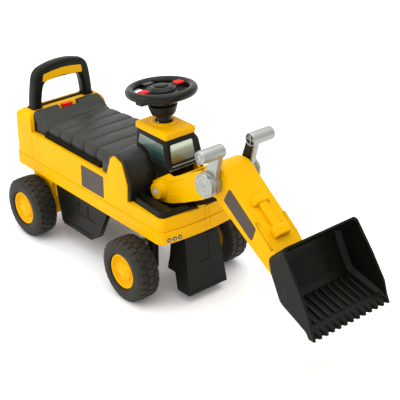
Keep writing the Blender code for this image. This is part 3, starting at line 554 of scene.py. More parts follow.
def tyre(node):
    """A round-shouldered tyre: three rows of lugs round two channels, and notches down each shoulder."""
    low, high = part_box(node)
    centre = (low + high) / 2
    x, y, z = centre.x / MM + MIDDLE_X, centre.y / MM, centre.z / MM
    half = TYRE_WIDTH / 2
    side = [(36.3, half - 3.4), (37.6, half - 1.2), (41, half - 0.2), (47, half), (53, half - 0.5),
            (57.5, half - 1.8), (60.6, half - 3.8), (62.6, half - 5.3)]
    half_profile = side + [(TYRE_R - 1.1 * (w / 19) ** 2, w) for w in TREAD_LINES]
    profile = half_profile + [(r, -w) for r, w in reversed(half_profile)]
    rings = []
    for lug in range(LUGS):
        for mark in LUG_MARKS:
            turn = tau * (lug + mark) / LUGS
            ring = []
            for radius, w in profile:
                depth = tread(w, mark + (0.001 if mark in (0.0, 0.5) else -0.001))
                if mark in GAP_EDGES and abs(w) < TREAD_HALF and not in_channel(w):
                    depth *= 0.15
                r = radius - depth * TREAD_DEPTH
                if 57 < radius < 63.5 and abs(w) > 19.7:
                    r -= 1.1 * tread(16, mark)
                ring.append((x + r * cos(turn), y + w, z + r * sin(turn)))
            rings.append(ring)
    return show_cad(loft(node + "_fine", rings, closed=True), node, "tyre", sharp=38)


STUD_R, DOME_R = 14.6, 25.4


def hub(node):
    """A dished wheel hub, turned, with five studs round its boss and ten small domes in the dish."""
    low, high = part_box(node)
    centre = (low + high) / 2
    axle = (centre.x / MM + MIDDLE_X, centre.z / MM)
    side = 1 if centre.y > 0 else -1
    near, far = (low.y, high.y) if side > 0 else (high.y, low.y)
    inner, face = abs(near) / MM, abs(far) / MM
    outline = [(5.3, inner), (33, inner), (35.6, inner + 3), (35.6, face - 6), (36, face - 3.6),
               (35.6, face - 1.4), (34.6, face - 0.4), (33.4, face - 0.3), (32.2, face - 1.2),
               (31, face - 4), (29.4, face - 7.2), (27, face - 8.6), (23.5, face - 8.8), (21.6, face - 8),
               (20.3, face - 5.6), (19.2, face - 4), (17.6, face - 3.3), (11.4, face - 2.8),
               (10.2, face - 2), (9, face - 0.5), (7.8, face), (0, face), (0, face - 8), (5.3, face - 8)]
    stud = [(0, face - 5), (2.2, face - 5), (2.2, face - 2.4), (1.6, face - 1.6), (0, face - 1.4)]
    dome = [(0, face - 10), (2.4, face - 10), (2.4, face - 8.2), (1.4, face - 7.5), (0, face - 7.3)]
    dish = turned_out(node + "_fine", axle, side, outline, 72)
    studs = [turned_out("stud", spot, side, stud, 12) for spot in around(axle, STUD_R, 5, 0.25)]
    domes = [turned_out("dome", spot, side, dome, 10) for spot in around(axle, DOME_R, 10, 0.5)]
    return show_cad(joined(node + "_fine", dish, *studs, *domes), node, YELLOW, sharp=42)


# ---------------- seat and handle

BAR_PITCH = 42
GROOVES = [-144 + BAR_PITCH * i for i in range(5)]
SEAT_HALF = 84.0
SEAT_FOOT = 227
SEAT_ROUND = 14.0
SEAT_SHARES = (0, 0.25, 0.45, 0.6, 0.72, 0.82, 0.9, 0.95, 0.98, 1.0)
RIB_PITCH = 3.1


def groove_depth(x):
    return sum(exp(-((x - g) / 2.6) ** 2) for g in GROOVES)


def pillow(x):
    """The bars between the grooves swell a little."""
    if not GROOVES[0] - 16 < x < 66:
        return 0.0
    return abs(sin(pi * (x - GROOVES[0]) / BAR_PITCH)) ** 0.7


def seat_stations():
    """Places across the seat, each with its share of the way round the edge; above 1 is the foot."""
    flat = SEAT_HALF - SEAT_ROUND
    inner = [(-flat + 10 * i, 0) for i in range(1, int(2 * flat / 10))]
    right = [(-flat - SEAT_ROUND * s, s) for s in reversed(SEAT_SHARES)]
    left = [(flat + SEAT_ROUND * s, s) for s in SEAT_SHARES]
    return [(-SEAT_HALF, 2)] + right + inner + left + [(SEAT_HALF, 2)]


def seat_lid():
    """The padded seat: its side outline swept across, drawn in to a core line at each edge."""
    back = [(-186.6, SEAT_FOOT), (-186.8, 238), (-187.4, 246), (-189.6, 253.5), (-193.2, 260),
            (-196, 264), (-196.6, 267), (-194, 268.4), (-190, 268.6), (-185.5, 266.8), (-178, 261),
            (-168, 252.8), (-162, 248.3), (-158, 246.9)]
    crown = []
    x = -156.0
    while x < 62:
        crown.append((x, 247 + 11.6 * sin(radians(90) * min(1, (x + 160) / 200))))
        x += 1.5
    nose = arc((66.5, 248.3), 10.4, 96, -80, 8)
    front = [(77, 245), (75.5, 240.5), (71, 239.4), (66, 239.3), (64, 236), (64, SEAT_FOOT)]
    top = back + crown + nose + front
    core = []
    for x, z in top:
        fall = max(0.0, (-160 - x) / 37)
        core.append((min(x + 9 * fall, 66), min(z, 240 + 9 * fall)))
    rings = []
    for y, share in seat_stations():
        grounded = share > 1
        share = min(share, 1)
        collapse = 1 - sqrt(max(0.0, 1 - share ** 2.4))
        upper, lower = [], []
        for (x, z), (cx, cz) in zip(top, core):
            on_bars = x > -158
            dip = groove_depth(x) if on_bars else 0.0
            crest = z + (1.6 * pillow(x) - 1.9 * dip if on_bars else 0)
            crest += 0.8 * (1 - (y / SEAT_HALF) ** 2) if z > 243 else 0
            inset = (1 - 0.028 * dip * min(1, share + 0.1)) * (1 - 0.02 * (1 - pillow(x)) * share)
            inset += 0.06 * min(1, max(0, (-150 - x) / 20))
            spot_x = x + (cx - x) * collapse
            spot_z = SEAT_FOOT if grounded else crest + (cz - crest) * collapse
            upper.append((spot_x, y * inset, max(spot_z, SEAT_FOOT)))
            lower.append((spot_x, y * inset, SEAT_FOOT))
        rings.append(upper + lower[-2:0:-1])
    lid = loft("seat_lid_fine", rings)
    mouth = rounded([(-27, 300), (-24, 259), (-19, 254.5), (19, 254.5), (24, 259), (27, 300)], 4)
    cut(lid, prism("notch", "X", mouth, -215, -181))
    show_cad(lid, "seat_lid", BLACK, sharp=50, paint="seat")
    for side in (-1, 1):
        rib_band(side)


def rib_band(side):
    """The fine upright ribs under one edge of the seat."""
    start, end, root, tip = -148, 48, side * 88.4, side * 90.2
    outline = [(start, side * 82)]
    for k in range(int((end - start) / RIB_PITCH)):
        x = start + k * RIB_PITCH
        outline += [(x, root), (x + 0.9, tip), (x + 1.9, tip), (x + 2.5, root)]
    outline += [(end, root), (end, side * 82)]
    band = prism(f"rib_band_{'right' if side < 0 else 'left'}", "Z", outline, SEAT_FOOT, 236.5)
    show(band, BLACK, body_of["seat_lid"], sharp=30)


HANDLE_OUTER = [(77, 266.4), (76.2, 280), (74.6, 295), (72.4, 312), (69.8, 328), (65.4, 341), (56, 350.5),
                (42, 355.5), (22, 359.5), (0, 361)]
HANDLE_INNER = [(54, 266.4), (53, 280), (51, 295), (49, 304), (46.6, 311), (42.5, 317), (36.5, 320),
                (27, 320.8), (14, 321.4), (0, 321.8)]
HANDLE_SIDES = 32
HANDLE_POWER = 2 / 3.6


def push_handle():
    """The loop behind the seat, square-shouldered in section, on two collars joined by a ribbed bar."""
    low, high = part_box("push_handle")
    rear, front = low.x / MM + MIDDLE_X, high.x / MM + MIDDLE_X
    middle, half = (rear + front) / 2, (front - rear) / 2
    outer, inner = mirrored(smooth_line(HANDLE_OUTER)), mirrored(smooth_line(HANDLE_INNER))
    rings = []
    for (oy, oz), (iy, iz) in zip(outer, inner):
        centre = Vector(((oy + iy) / 2, (oz + iz) / 2))
        reach = Vector((oy - iy, oz - iz)) / 2
        ring = []
        for k in range(HANDLE_SIDES):
            turn = tau * k / HANDLE_SIDES
            c, s = cos(turn), sin(turn)
            a = copysign(abs(c) ** HANDLE_POWER, c)
            b = copysign(abs(s) ** HANDLE_POWER, s)
            spot = centre + reach * a
            ring.append((middle + half * b, spot.x, spot.y))
        rings.append(ring)
    loop = loft("push_handle_fine", rings)
    collars = []
    for side in (-1, 1):
        outline = rounded([(rear - 0.5, side * 52), (front + 0.5, side * 52), (front + 0.5, side * 79),
                           (rear - 0.5, side * 79)], 7, 5)
        collars.append(prism("collar", "Z", outline, 266.0, 268.6))
    bridge = prism("bar", "Z", [(-222, -54), (-213, -54), (-213, 54), (-222, 54)], 266.2, 267.6)
    ribs = [block("rib", (-221.4 + 2.8 * k, -220 + 2.8 * k), (-54, 54), (267.4, 268.6)) for k in range(3)]
    whole = joined("push_handle_fine", loop, soften(joined("collars", *collars), 1), bridge, *ribs)
    return show_cad(whole, "push_handle", BLACK, sharp=50)


# ---------------- steering

WHEEL_CENTRE = (134.0, 0.0, 395.0)
COLUMN_TILT = radians(6)
RING_R, RING_TUBE = 61.0, 9.0


def tilted(piece):
    """Moves a piece made about the design Z axis onto the column's axis, at the wheel's centre."""
    move = Matrix.Translation(at(*WHEEL_CENTRE)) @ Matrix.Rotation(-COLUMN_TILT, 4, "Y") @ \
        Matrix.Translation(-at(0, 0, 0))
    piece.data.transform(move)
    return piece


def steering_wheel():
    """The wheel, made flat about the design Z axis and then tilted, with its cap and its two buttons."""
    tube = arc((0, 0), RING_TUBE, 0, 360 - 360 / 20, 19)
    ring = turned("ring", "Z", (0, 0), [(RING_R + r, z) for r, z in tube], 96)
    boss = [(0, -27.8), (24, -27.8), (27.5, -25), (29.5, -20), (29.8, 0), (29, 3.4), (27.5, 5.2),
            (25.8, 5.4), (25, 4.4), (24.2, 4.2), (23.2, 5), (21.5, 7), (18.5, 8), (15.2, 8.2),
            (14.2, 7.6), (13.6, 6.4), (13.6, 4.2), (0, 4.2)]
    centre = turned("steering_wheel_fine", "Z", (0, 0), boss, 72)
    spokes = []
    for side in (-1, 1):
        outline = [(-12, side * 22), (12, side * 22), (10, side * 57), (-10, side * 57)]
        arm = prism("arm", "Z", outline, -18, 4.4)
        recess = [(-9.4, side * 33.5), (9.4, side * 33.5), (9.4, side * 52), (-9.4, side * 52)]
        cut(arm, prism("recess", "Z", recess, -0.5, 20))
        spokes.append(soften(arm, 1.6))
        for k in range(3):
            spokes.append(block("rib", (-8.6, 8.6), outward(side, 25 + 3 * k, 26.4 + 3 * k), (4, 5.6)))
    spokes.append(soften(block("tail", (-57, -22), (-9, 9), (-9, 2.5)), 2))
    spokes.append(soften(block("tail_block", (-50, -34), (-11, 11), (-6, 5.4)), 1.8))
    wheel = tilted(joined("steering_wheel_fine", centre, ring, *spokes))
    show_cad(wheel, "steering_wheel", BLACK, sharp=45, paint="wheel_black")
    cap = [(0, 4.6), (12.8, 4.6), (12.8, 8.6), (12, 9.9), (10.4, 10.5), (0, 11.2)]
    show_cad(tilted(turned("horn_cap_fine", "Z", (0, 0), cap, 48)), "horn_cap", BLACK, sharp=45)
    for side, node in ((-1, "button_right"), (1, "button_left")):
        pad = soften(block("pad", (-8.6, 8.6), outward(side, 34.2, 50.8), (1.4, 7.2)), 1.6)
        ribs = [block("rib", (-6.4, 6.4), outward(side, 38 + 3.2 * k, 39.2 + 3.2 * k), (7, 7.8))
                for k in range(4)]
        show_cad(tilted(joined(node + "_fine", pad, *ribs)), node, "red_moulding", sharp=40)


def steering_cup():
    """The cup round the column under the wheel, slotted front and back."""
    outline = [(0, -49), (16, -49), (20.4, -48.4), (23, -46.4), (24.6, -43), (28.8, -30), (28.8, -28.6),
               (0, -28.6)]
    cup = turned("steering_cup_fine", "Z", (0, 0), outline, 64)
    for slot in ((-34, -20), (20, 34)):
        cut(cup, block("slot", (-2, 2), slot, (-60, -37)))
    show_cad(tilted(cup), "steering_cup", BLACK, sharp=40)


# ---------------- arm

# Places (x, z) in the arm's side view.
ELBOW, BOOM_PIVOT, LEVER_TOP = (325.0, 283.0), (170.0, 208.0), (344.5, 353.0)
STICK_TOP = ((351.0, 310.0), (481.0, 211.0))


def screw_head(name, side):
    """A pan head on the boom's pivot, with a six-lobed socket."""
    face, radius = 47.2, 6.6
    profile = [(0, face - 3), (radius, face - 3), (radius, face - 1.4), (radius * 0.8, face - 0.4),
               (0, face)]
    head = turned_out(name, BOOM_PIVOT, side, profile, 40)
    centre = Vector(BOOM_PIVOT)
    for k in range(3):
        turn = pi * k / 3
        along = Vector((cos(turn), sin(turn))) * radius * 0.5
        across = Vector((-along.y, along.x)) * 0.3
        slot = [tuple(centre + a * along + b * across) for a, b in ((1, 1), (-1, 1), (-1, -1), (1, -1))]
        cut(head, prism("slot", "Y", slot, *outward(side, face - 1.6, face + 2)))
    return show(head, "steel", "boom", sharp=40)


def lever(node, side):
    """A silver hub at the elbow, an arm, a round grip, and a black plate on the arm's inner face that is
    painted shade, standing in for the dark reflection seen there.
    """
    def across_arm(name, foot_share, foot_half, top_share, top_half, inner, outer):
        foot, top = Vector(ELBOW) + run * foot_share, Vector(ELBOW) + run * top_share
        outline = [foot - across * foot_half, foot + across * foot_half, top + across * top_half,
                   top - across * top_half]
        return prism(name, "Y", [tuple(p) for p in outline], *outward(side, inner, outer))

    run = Vector(LEVER_TOP) - Vector(ELBOW)
    across = Vector((-run.y, run.x)).normalized()
    hub_shape = [(0, 34.4), (21.5, 34.4), (22.6, 35.6), (22.6, 50.6), (21.6, 51.6), (21.6, 52.8),
                 (23, 53.4), (24, 54.6), (24, 59.2), (23.2, 60.6), (21.6, 61), (20, 61), (19.4, 60.2),
                 (18.2, 60.2), (17.6, 61), (11.6, 61), (11, 60.3), (10, 60.3), (9.4, 61), (5.2, 61),
                 (4.6, 60), (0, 60)]
    hub_piece = turned_out(node + "_fine", ELBOW, side, hub_shape, 72)
    arm = soften(across_arm("arm", 0.18, 14, 1, 11.5, 37.2, 50), 2.2)
    grip_shape = [(0, 38.5), (10.4, 38.5), (10.6, 34.4), (11.4, 33.7), (12.4, 34.2), (13, 35.6), (13, 83),
                  (12.4, 85.4), (11, 86.7), (9.8, 86.9), (9, 86.4), (8.6, 84.6), (5.4, 84.6), (5, 85.6),
                  (0, 85.8)]
    grip = turned_out("grip", LEVER_TOP, side, grip_shape, 56)
    x, z = LEVER_TOP
    cross = [block("cross", (x - 10.5, x + 10.5), outward(side, 34.6, 39), (z - 0.8, z + 0.8)),
             block("cross", (x - 0.8, x + 0.8), outward(side, 34.9, 39), (z - 10.5, z + 10.5))]
    lobes = [turned_out("lobe", spot, side, [(0, 59), (1.5, 59), (1.5, 60.8), (0, 60.9)], 12)
             for spot in around(ELBOW, 3.2, 3, 0)]
    whole = joined(node + "_fine", hub_piece, arm, grip, *cross, *lobes)
    show_cad(whole, node, "silver_moulding", sharp=35)
    # The black plate on the arm's inner face is painted shade: it stands in for the shade and dark
    # reflection on the silver arm.
    inner = across_arm(node + "_inner", 0.32, 10.5, 0.97, 9, 36.4, 38.5)
    show(soften(inner, 0.6), BLACK, "stick", sharp=40)


def boom():
    """The two boom shells, each with a raised ring and a screw at the pivot."""
    for side, node in ((-1, "boom_right"), (1, "boom_left")):
        shell = soften(fine_copy(node), 0.7, 32, 2)
        show_cad(shell, node, YELLOW, sharp=35)
        profile = [(13.6, 44), (15.4, 44), (15.4, 46.2), (14.6, 47), (13.2, 47.4), (11.4, 47), (10.4, 46),
                   (10, 44)]
        ring = turned_out("boss_ring_" + node, BOOM_PIVOT, side, profile, 56)
        show(ring, YELLOW, "boom", sharp=40)
        screw_head("boom_screw_" + node, side)


def along_stick(distance, height):
    """A point in the stick's side view, by its distance down the top face and its height off it."""
    start, end = Vector(STICK_TOP[0]), Vector(STICK_TOP[1])
    run = (end - start).normalized()
    return tuple(start + run * distance + Vector((-run.y, run.x)) * height)


def bar(name, start, end, height, half, round_off):
    """A rounded block across the stick's top face, its foot sunk in the shells."""
    foot = -3
    corners = [along_stick(*p) for p in ((start, foot), (end, foot), (end, height), (start, height))]
    return soften(prism(name, "Y", corners, -half, half), round_off, 40, 5)


def stick():
    """The two stick shells with a wedge rib each, the rounded bar on top and the plain decals."""
    for side, node in ((-1, "stick_right"), (1, "stick_left")):
        shell = fine_copy(node)
        above = [along_stick(50, 0), along_stick(158, 0), along_stick(158, 30), along_stick(50, 30)]
        cut(shell, prism("above", "Y", above, *outward(side, -1, 30)))
        soften(shell, 2.0, 32, 4, clamp=True)
        show_cad(shell, node, YELLOW, sharp=35)
        wedge = [(437, 246), (443, 232), (459, 213), (482, 207), (470, 221)]
        rib = prism("stick_rib_" + node, "Y", rounded(wedge, 2), *outward(side, 31, 36.6))
        show(soften(rib, 1.2), YELLOW, "stick", sharp=35)
    upper = [bar("upper", 62, 79, 10, 14.5, 3.4), bar("lobe", 64.5, 80.5, 6.5, 20, 3.0)]
    parts = upper + [bar("rod", 70, 140, 7.6, 9.6, 3.2), bar("lower", 129, 149, 11, 18, 3.2)]
    show(joined("stick_top_bar", *parts), YELLOW, "stick", sharp=50)
    for node in ("stick_decal_right", "stick_decal_left"):
        show_cad(fine_copy(node), node, "badge_print", sharp=35)


BUCKET_HALF = 95
FINGERS, FINGER_PITCH, FLOOR_SLOPE = 9, 16.6, 0.2698
NOTCHES, NOTCH_PITCH = 12, 15.5


def shifted(points, distances):
    """An open line moved sideways, each point by its own distance, to the left of its run."""
    result = []
    for i, (point, distance) in enumerate(zip(points, distances)):
        point = Vector(point)
        runs = []
        if i > 0:
            runs.append((point - Vector(points[i - 1])).normalized())
        if i < len(points) - 1:
            runs.append((Vector(points[i + 1]) - point).normalized())
        lefts = [Vector((-run.y, run.x)) for run in runs]
        middle = sum(lefts, Vector((0, 0))).normalized()
        result.append(tuple(point + middle * distance / max(0.5, middle.dot(lefts[0]))))
    return result


def bent(points, radius):
    """An open line with its inner corners turned into small arcs."""
    ends = CORNER_STEPS + 1
    return [points[0]] + rounded(points, radius)[ends:-ends] + [points[-1]]


def bucket_width(x, z):
    """Half the bucket's width; the sides close in towards the back."""
    depth = max(0.0, (620 - x) * 0.9 + (200 - z) * 0.15)
    return BUCKET_HALF - min(depth, BUCKET_HALF) * 0.09


def bucket_rings(back, front, weights, radius, wall, corner, flat=False):
    """Outlines across the bucket, drawn in along the back line towards each side."""
    steps = 1 if flat else 6
    half = []
    for k in range(steps + 1):
        turn = radians(90) * k / steps
        line = shifted(back, [radius * (1 - sin(turn)) * w for w in weights])
        half.append((bent(line, corner) + front, radius * (1 - cos(turn)) + wall))
    rings = []
    for side, order in ((-1, half), (1, half[::-1])):
        for line, inward in order:
            rings.append([(x, side * (bucket_width(x, z) - inward), z) for x, z in line])
    return rings


def back_panel_cutter():
    """The shallow panel sunk in the bucket's back wall, with its corners cut off."""
    rings = []
    for z, half in ((170, 48), (171.4, 52), (175, 54), (206, 54), (216, 54), (219, 52), (220.4, 48)):
        x = 530 + (206 - z) * (0.558 if z < 206 else 0.318)
        rings.append([(x - 1.6, -half, z), (x - 1.6, half, z), (x + 4, half + 3, z), (x + 4, -half - 3, z)])
    return loft("back_panel", rings)


def notch_cutters():
    """Round grooves through the lip that leave the teeth standing; they deepen to the front."""
    notches = []
    for i in range(NOTCHES):
        y = (i - (NOTCHES - 1) / 2) * NOTCH_PITCH
        rings = []
        for x, radius, z in ((630, 0.8, 138.5), (636, 3.0, 135.5), (642, 4.3, 130.5), (656, 5.6, 124)):
            rings.append([(x, y + a, z + b * 1.5) for a, b in arc((0, 0), radius, 0, 345, 23)])
        notches.append(loft("notch", rings))
    return joined("notches", *notches)


def fingers():
    """The rounded ribs that run down the bucket's floor."""
    pieces = []
    for k in range(FINGERS):
        y = (k - (FINGERS - 1) / 2) * FINGER_PITCH
        rings = []
        for lift, half in ((-0.8, 5.9), (1.8, 5.6), (3.8, 4.4), (4.8, 2.4)):
            plan = arc((570, y), half, 90, 180, 8) + arc((619, y), half, -90, 180, 10)
            rings.append([(x, w, 157 - (x - 563) * FLOOR_SLOPE + lift) for x, w in plan])
        pieces.append(loft("finger", rings))
    return pieces


def bucket():
    """The bucket: an outer form less an inner one, its back edges rounded from side to side."""
    back = [(557, 265), (519, 229), (526, 204), (552, 158), (562, 153), (624, 135), (632, 127)]
    front = [(645, 127), (638, 141), (629.5, 166), (600, 210)]
    shell = loft("bucket_shell", bucket_rings(back, front, [1, 1, 1, 1, 0.9, 0.3, 0.05], 9, 0, 7))
    back = [(568, 270.3), (523, 228), (530, 206), (554, 163), (563, 157), (626, 140), (650, 129.6)]
    front = [(700, 129.6), (700, 330), (600, 330)]
    cut(shell, loft("inside", bucket_rings(back, front, [1, 1, 1, 1, 1, 0.5, 0.2], 8, 3.5, 3, flat=True)))
    cut(shell, back_panel_cutter())
    cut(shell, notch_cutters())
    soften(shell, 0.8, 34, clamp=True)
    whole = joined("bucket_fine", shell, *fingers())
    show_cad(whole, "bucket", BLACK, sharp=35, paint="bucket_black")


# ---------------- body


def sunk(name, axis, outline, bottom, top, flare):
    """A cutter with sloping walls: outline at the bottom of the recess, wider by flare at the top."""
    middle = sum((Vector(p) for p in outline), Vector((0, 0))) / len(outline)
    wide = [tuple(Vector(p) + (Vector(p) - middle).normalized() * flare) for p in outline]
    return loft(name, [[lifted(axis, p, bottom) for p in outline], [lifted(axis, p, top) for p in wide]])


def side_panels(shell):
    """The panel raised on each flank, fading out to the rear, and the upright groove behind it."""
    panels = []
    for side in (-1, 1):
        outline = rounded([(-124, 164.5), (-22, 164.5), (-28, 190), (-38, 200.5), (-124, 200.5)], 4)
        foot = [(x, side * 95.8, z) for x, z in outline]
        crest = [(x - (2.6 if x > -100 else 0), side * (97 + 1.9 * (x + 124) / 95),
                  z - (2.6 if z > 180 else 0)) for x, z in outline]
        panels.append(loft("panel", [foot, crest]))
        groove = [(-189.8, 166), (-188.4, 166), (-188.4, 224), (-189.8, 224)]
        cut(shell, sunk("groove", "Y", groove, side * 96.0, side * 99.5, 0.8))
    return joined("body_shell_fine", shell, *panels)


def body_shell():
    """The yellow body, hollowed for the seat's back, with its panels, nose seams and nose lugs."""
    shell = fine_copy("body_shell")
    cheek = [(-150, 226.3), (-187.5, 226.3), (-188, 243), (-190.4, 252), (-195.6, 259.6), (-202.4, 264.4),
             (-210, 266.6), (-210, 300), (-150, 300)]
    cut(shell, prism("seat_back", "Y", cheek, -110, 110))
    soften(shell, 1.8, 32, 3, clamp=True)
    shell = side_panels(shell)
    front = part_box("body_shell")[1].x / MM + MIDDLE_X
    for y in (7, 18):
        cut(shell, block("seam", (front - 9.9, front + 9), (y - 0.4, y + 0.4), (139.4, 188)))
    show_cad(shell, "body_shell", YELLOW, sharp=40)
    lugs = [soften(block("lug", (226, 244), outward(s, 38, 47), (133.5, 140)), 1.6) for s in (-1, 1)]
    show(joined("nose_lugs", *lugs), YELLOW, "chassis")


def storage_tub():
    """The tub and its hanging panels, each a frame round sunk fields."""
    tub = soften(fine_copy("storage_tub"), 1.4, 30, 3, clamp=True)
    fields = [[(-107, 112), (-103.4, 89.5), (-44, 89.5), (-44, 116), (-107.5, 116)],
              [(-41, 89.5), (-10, 89.5), (-10, 119), (-41, 119)],
              [(-6.6, 89.5), (22, 89.5), (37, 119), (-6.6, 119)],
              [(-103, 85.5), (-98, 58), (-93.5, 52.5), (0, 52.5), (12, 60), (19.6, 85.5)]]
    for side in (-1, 1):
        low, high = side * 86.3, side * 89.5
        for field in fields:
            cut(tub, sunk("field", "Y", rounded(field, 2, 2), low, high, 1.2))
        cut(tub, turned_out("hole", (-38, 110.5), side, [(0, 85), (2.6, 85), (3.2, 89.5), (0, 89.5)], 20))
    show_cad(tub, "storage_tub", BLACK, sharp=40)


def stabiliser():
    """The skirt under the nose, with a panel sunk in its face and a groove across its foot."""
    skirt = fine_copy("front_stabiliser")

    def face(z):
        return 252 + (127 - z) * (0.1835 if z < 127 else 0.28)

    rings = []
    for z, left, right in ((77.4, -8, 8), (79, -10.6, 11.6), (83, -12.6, 13.6), (88, -13.4, 14.2),
                           (127, -18.8, 14.8), (178, -26, 15.6)):
        deep, out = face(z) - 1.7, face(z) + 3
        rings.append([(deep, left, z), (deep, right, z), (out, right + 2.4, z), (out, left - 2.4, z)])
    cut(skirt, loft("panel", rings))
    soften(skirt, 1.3, clamp=True)
    section = ((25, 4), (25.6, -0.9), (26.6, -0.9), (27.2, 4))
    cut(skirt, loft("lip", [[(face(z) + out, y, z) for z, out in section] for y in (-52, 52)]))
    show_cad(skirt, "front_stabiliser", BLACK, sharp=40)


LAMP_PLACES = (-55.5, -67.5, -79.5)


def headlamps():
    """Three small lamps, each a dark ring round a pale lens."""
    low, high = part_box("front_lamps")
    z = (low.z + high.z) / 2 / MM
    rings, lenses = [], []
    corners = [v.co / MM for v in nodes["front_lamps"].data.vertices]
    for y in LAMP_PLACES:
        face = max(corner.x for corner in corners if abs(corner.y - y) < 4.4) + MIDDLE_X
        ring = [(2.3, face - 6), (4.2, face - 6), (4.2, face - 0.3), (3.9, face), (2.7, face),
                (2.3, face - 0.5)]
        lens = [(0, face - 6), (2.2, face - 6), (2.2, face - 0.9), (1.4, face - 0.4), (0, face - 0.2)]
        rings.append(turned("ring", "X", (y, z), ring, 28))
        lenses.append(turned("lens", "X", (y, z), lens, 28))
    show_cad(joined("front_lamps_fine", *rings), "front_lamps", "lamp_grey", sharp=40, paint="lamp_ring")
    show(joined("front_lamp_lenses", *lenses), "lamp_grey", "chassis", sharp=40, paint="lens")


def grown(outline, distance):
    """The outline moved outward by distance; it runs clockwise."""
    result = []
    for i, corner in enumerate(outline):
        corner = Vector(corner)
        before = (corner - Vector(outline[i - 1])).normalized()
        after = (Vector(outline[(i + 1) % len(outline)]) - corner).normalized()
        normal = (Vector((-before.y, before.x)) + Vector((-after.y, after.x))).normalized()
        result.append(tuple(corner + normal * distance / max(0.5, normal.dot(Vector((-after.y, after.x))))))
    return result


FIN = [(76, 218), (94, 266.5), (104, 275), (128, 266.5), (144, 225), (143, 183)]
DECK_Z = 191.3
COWL_HALF, COWL_STEPS = 93, 46


def cowl():
    """The black bulkhead before the seat, with its rims beside the fins and its feet on the rail."""
    by_fin = [(78.3, 250), (79, 259), (81, 264.6), (85, 268), (92, 269.2), (103, 268.8), (111, 267.4),
              (117.6, 263.4), (122.4, 256), (127, 243), (131.6, 228), (135.4, 213), (137.3, 200)]
    by_cab = [(78.3, 254), (80, 265), (84, 272), (90.4, 276.4), (99, 278.8), (112, 279.6), (121.6, 278.4),
              (129.4, 273.8), (135, 265.4), (139.4, 252), (141.6, 236), (140.6, 217), (137.3, 200)]
    rings = []
    for k in range(COWL_STEPS + 1):
        y = -COWL_HALF + 2 * COWL_HALF * k / COWL_STEPS
        rise = min(1, max(0, (86 - abs(y)) / 46))
        line = [tuple(Vector(a) * (1 - rise) + Vector(b) * rise) for a, b in zip(by_fin, by_cab)]
        profile = [(78.3, DECK_Z), (78.3, 236)] + smooth_line(line) + [(137.3, DECK_Z)]
        rings.append([(x, y, z) for x, z in profile])
    dome = loft("front_cowl_fine", rings)
    cut(dome, block("boom_space", (140.4, 180), (-52, 52), (180, 238)))
    parts = [dome]
    for side in (-1, 1):
        rim = rounded(grown(FIN, 5.6), 6, 5)
        rim = [(x, max(z, DECK_Z)) for x, z in rim]
        wing = prism("wing", "Y", rim, *outward(side, 86.7, 93.4))
        parts.append(soften(wing, 1.8, 40, 3))
        parts.append(soften(block("foot", (60, 82), outward(side, 85.4, 93.3), (226.5, 254)), 3, 40, 4))
    show_cad(joined("front_cowl_fine", *parts), "front_cowl", BLACK, sharp=45, paint="gloss_black")


def plain(node, slot, width, paint=None):
    """A CAD node whose shape is right, with its edges rounded."""
    show_cad(soften(fine_copy(node), width), node, slot, sharp=38, paint=paint)


def cab_roof():
    """A flat roof with softened edges, a slot by its rear corner and a low collar round the column."""
    levels = [(317.4, 97.2, 190.8, 36.9, 6), (318.2, 96.3, 191.7, 37.8, 6.5), (327.4, 96, 192, 38, 7),
              (328.6, 96.6, 191.4, 37.4, 7), (329.4, 97.8, 190.2, 36.2, 7),
              (330.6, 100.6, 187.4, 33.4, 6.5), (331.3, 102.2, 185.8, 31.8, 6.2),
              (331.6, 103.6, 184.4, 30.4, 6)]
    rings = []
    for z, rear, front, half, radius in levels:
        plan = rounded([(rear, -half), (front, -half), (front, half), (rear, half)], radius, 6)
        rings.append([(x, y, z) for x, y in plan])
    roof = loft("cab_roof_fine", rings)
    cut(roof, sunk("slot", "Z", [(110, 26.4), (122, 26.4), (122, 30), (110, 30)], 328.4, 336, 0.6))
    outline = [(15.6, 326), (26.2, 326), (26, 333), (25.2, 334.6), (23.8, 335.4), (18.4, 335.4),
               (17, 334.6), (15.6, 333)]
    collar = turned("collar", "Z", (140.4, 0), outline, 64)
    show_cad(joined("cab_roof_fine", roof, collar), "cab_roof", YELLOW, sharp=42)


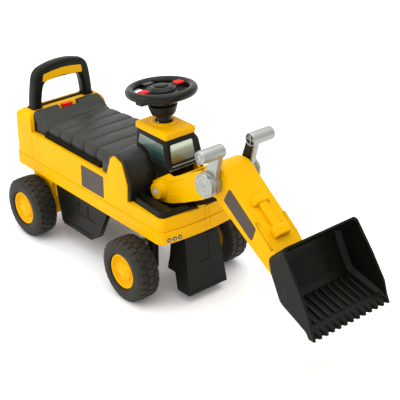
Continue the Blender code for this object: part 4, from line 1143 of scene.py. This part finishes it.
def cab():
    """The cab's frame, roof and three windows, and the two ledges over the front window's foot, whose light
    grey is a painted highlight along their edges.
    """
    plain("cab_frame", BLACK, 1.0)
    cab_roof()
    for node in ("window_right", "window_left", "window_front"):
        plain(node, "window_tint", 0.4, paint=node)
    # The ledges are painted light grey as a highlight on their edges.
    ledges = [soften(block("ledge", (197, 203.6), (-30, 30), (264.6, 266.2)), 0.5),
              soften(block("ledge", (198, 204), (-36, 36), (258.6, 260.4)), 0.5)]
    show(joined("cab_ledges", *ledges), BLACK, "chassis", paint="ledge")


def deck_tray():
    """The tray in front of the cab, with a raised platform on each side of the boom."""
    parts = [soften(fine_copy("deck_tray"), 0.8, 30, 2)]
    edge = [(139.2, 56), (139.2, 66), (150, 69.5), (166, 73), (186, 77), (206, 79), (222, 79), (232, 72),
            (236, 57)]
    for side in (-1, 1):
        plan = rounded([(x, side * y) for x, y in edge], 5)
        parts.append(soften(prism("platform", "Z", plan, 193.5, 198.4), 1.4, 40, 3))
    show_cad(joined("deck_tray_fine", *parts), "deck_tray", BLACK, sharp=40)


# ---------------- the scene

PAINTS = all_paints()
camera()
world()
softbox("top", (0.1, 0.3, 2.6), 2.2, 21)
softbox("left", (-0.9, -2.2, 1.3), 1.2, 12)
floor()
for piece in nodes.values():
    piece.data.materials[0] = PAINTS[piece.data.materials[0].name.split(".")[0]]

for corner in ("front_right", "front_left", "rear_right", "rear_left"):
    tyre("tyre_" + corner)
    hub("hub_" + corner)
for build in (seat_lid, push_handle, steering_wheel, steering_cup):
    build()
lever("lever_right", -1)
lever("lever_left", 1)
for build in (boom, stick, bucket, body_shell, storage_tub, stabiliser, headlamps, cowl, cab, deck_tray):
    build()
plain("seat_latch", "red_moulding", 1.2)
plain("handle_inlay", YELLOW, 0.4)
plain("boom_cradle", BLACK, 1.0)
plain("rear_axle_housing", YELLOW, 1.6)
plain("front_axle_housing", YELLOW, 1.6)
plain("steering_column", BLACK, 0.6, paint="wheel_black")
for side in ("right", "left"):
    plain("side_badge_" + side, "badge_print", 0.3)
    plain("knuckle_" + side, BLACK, 1.0)
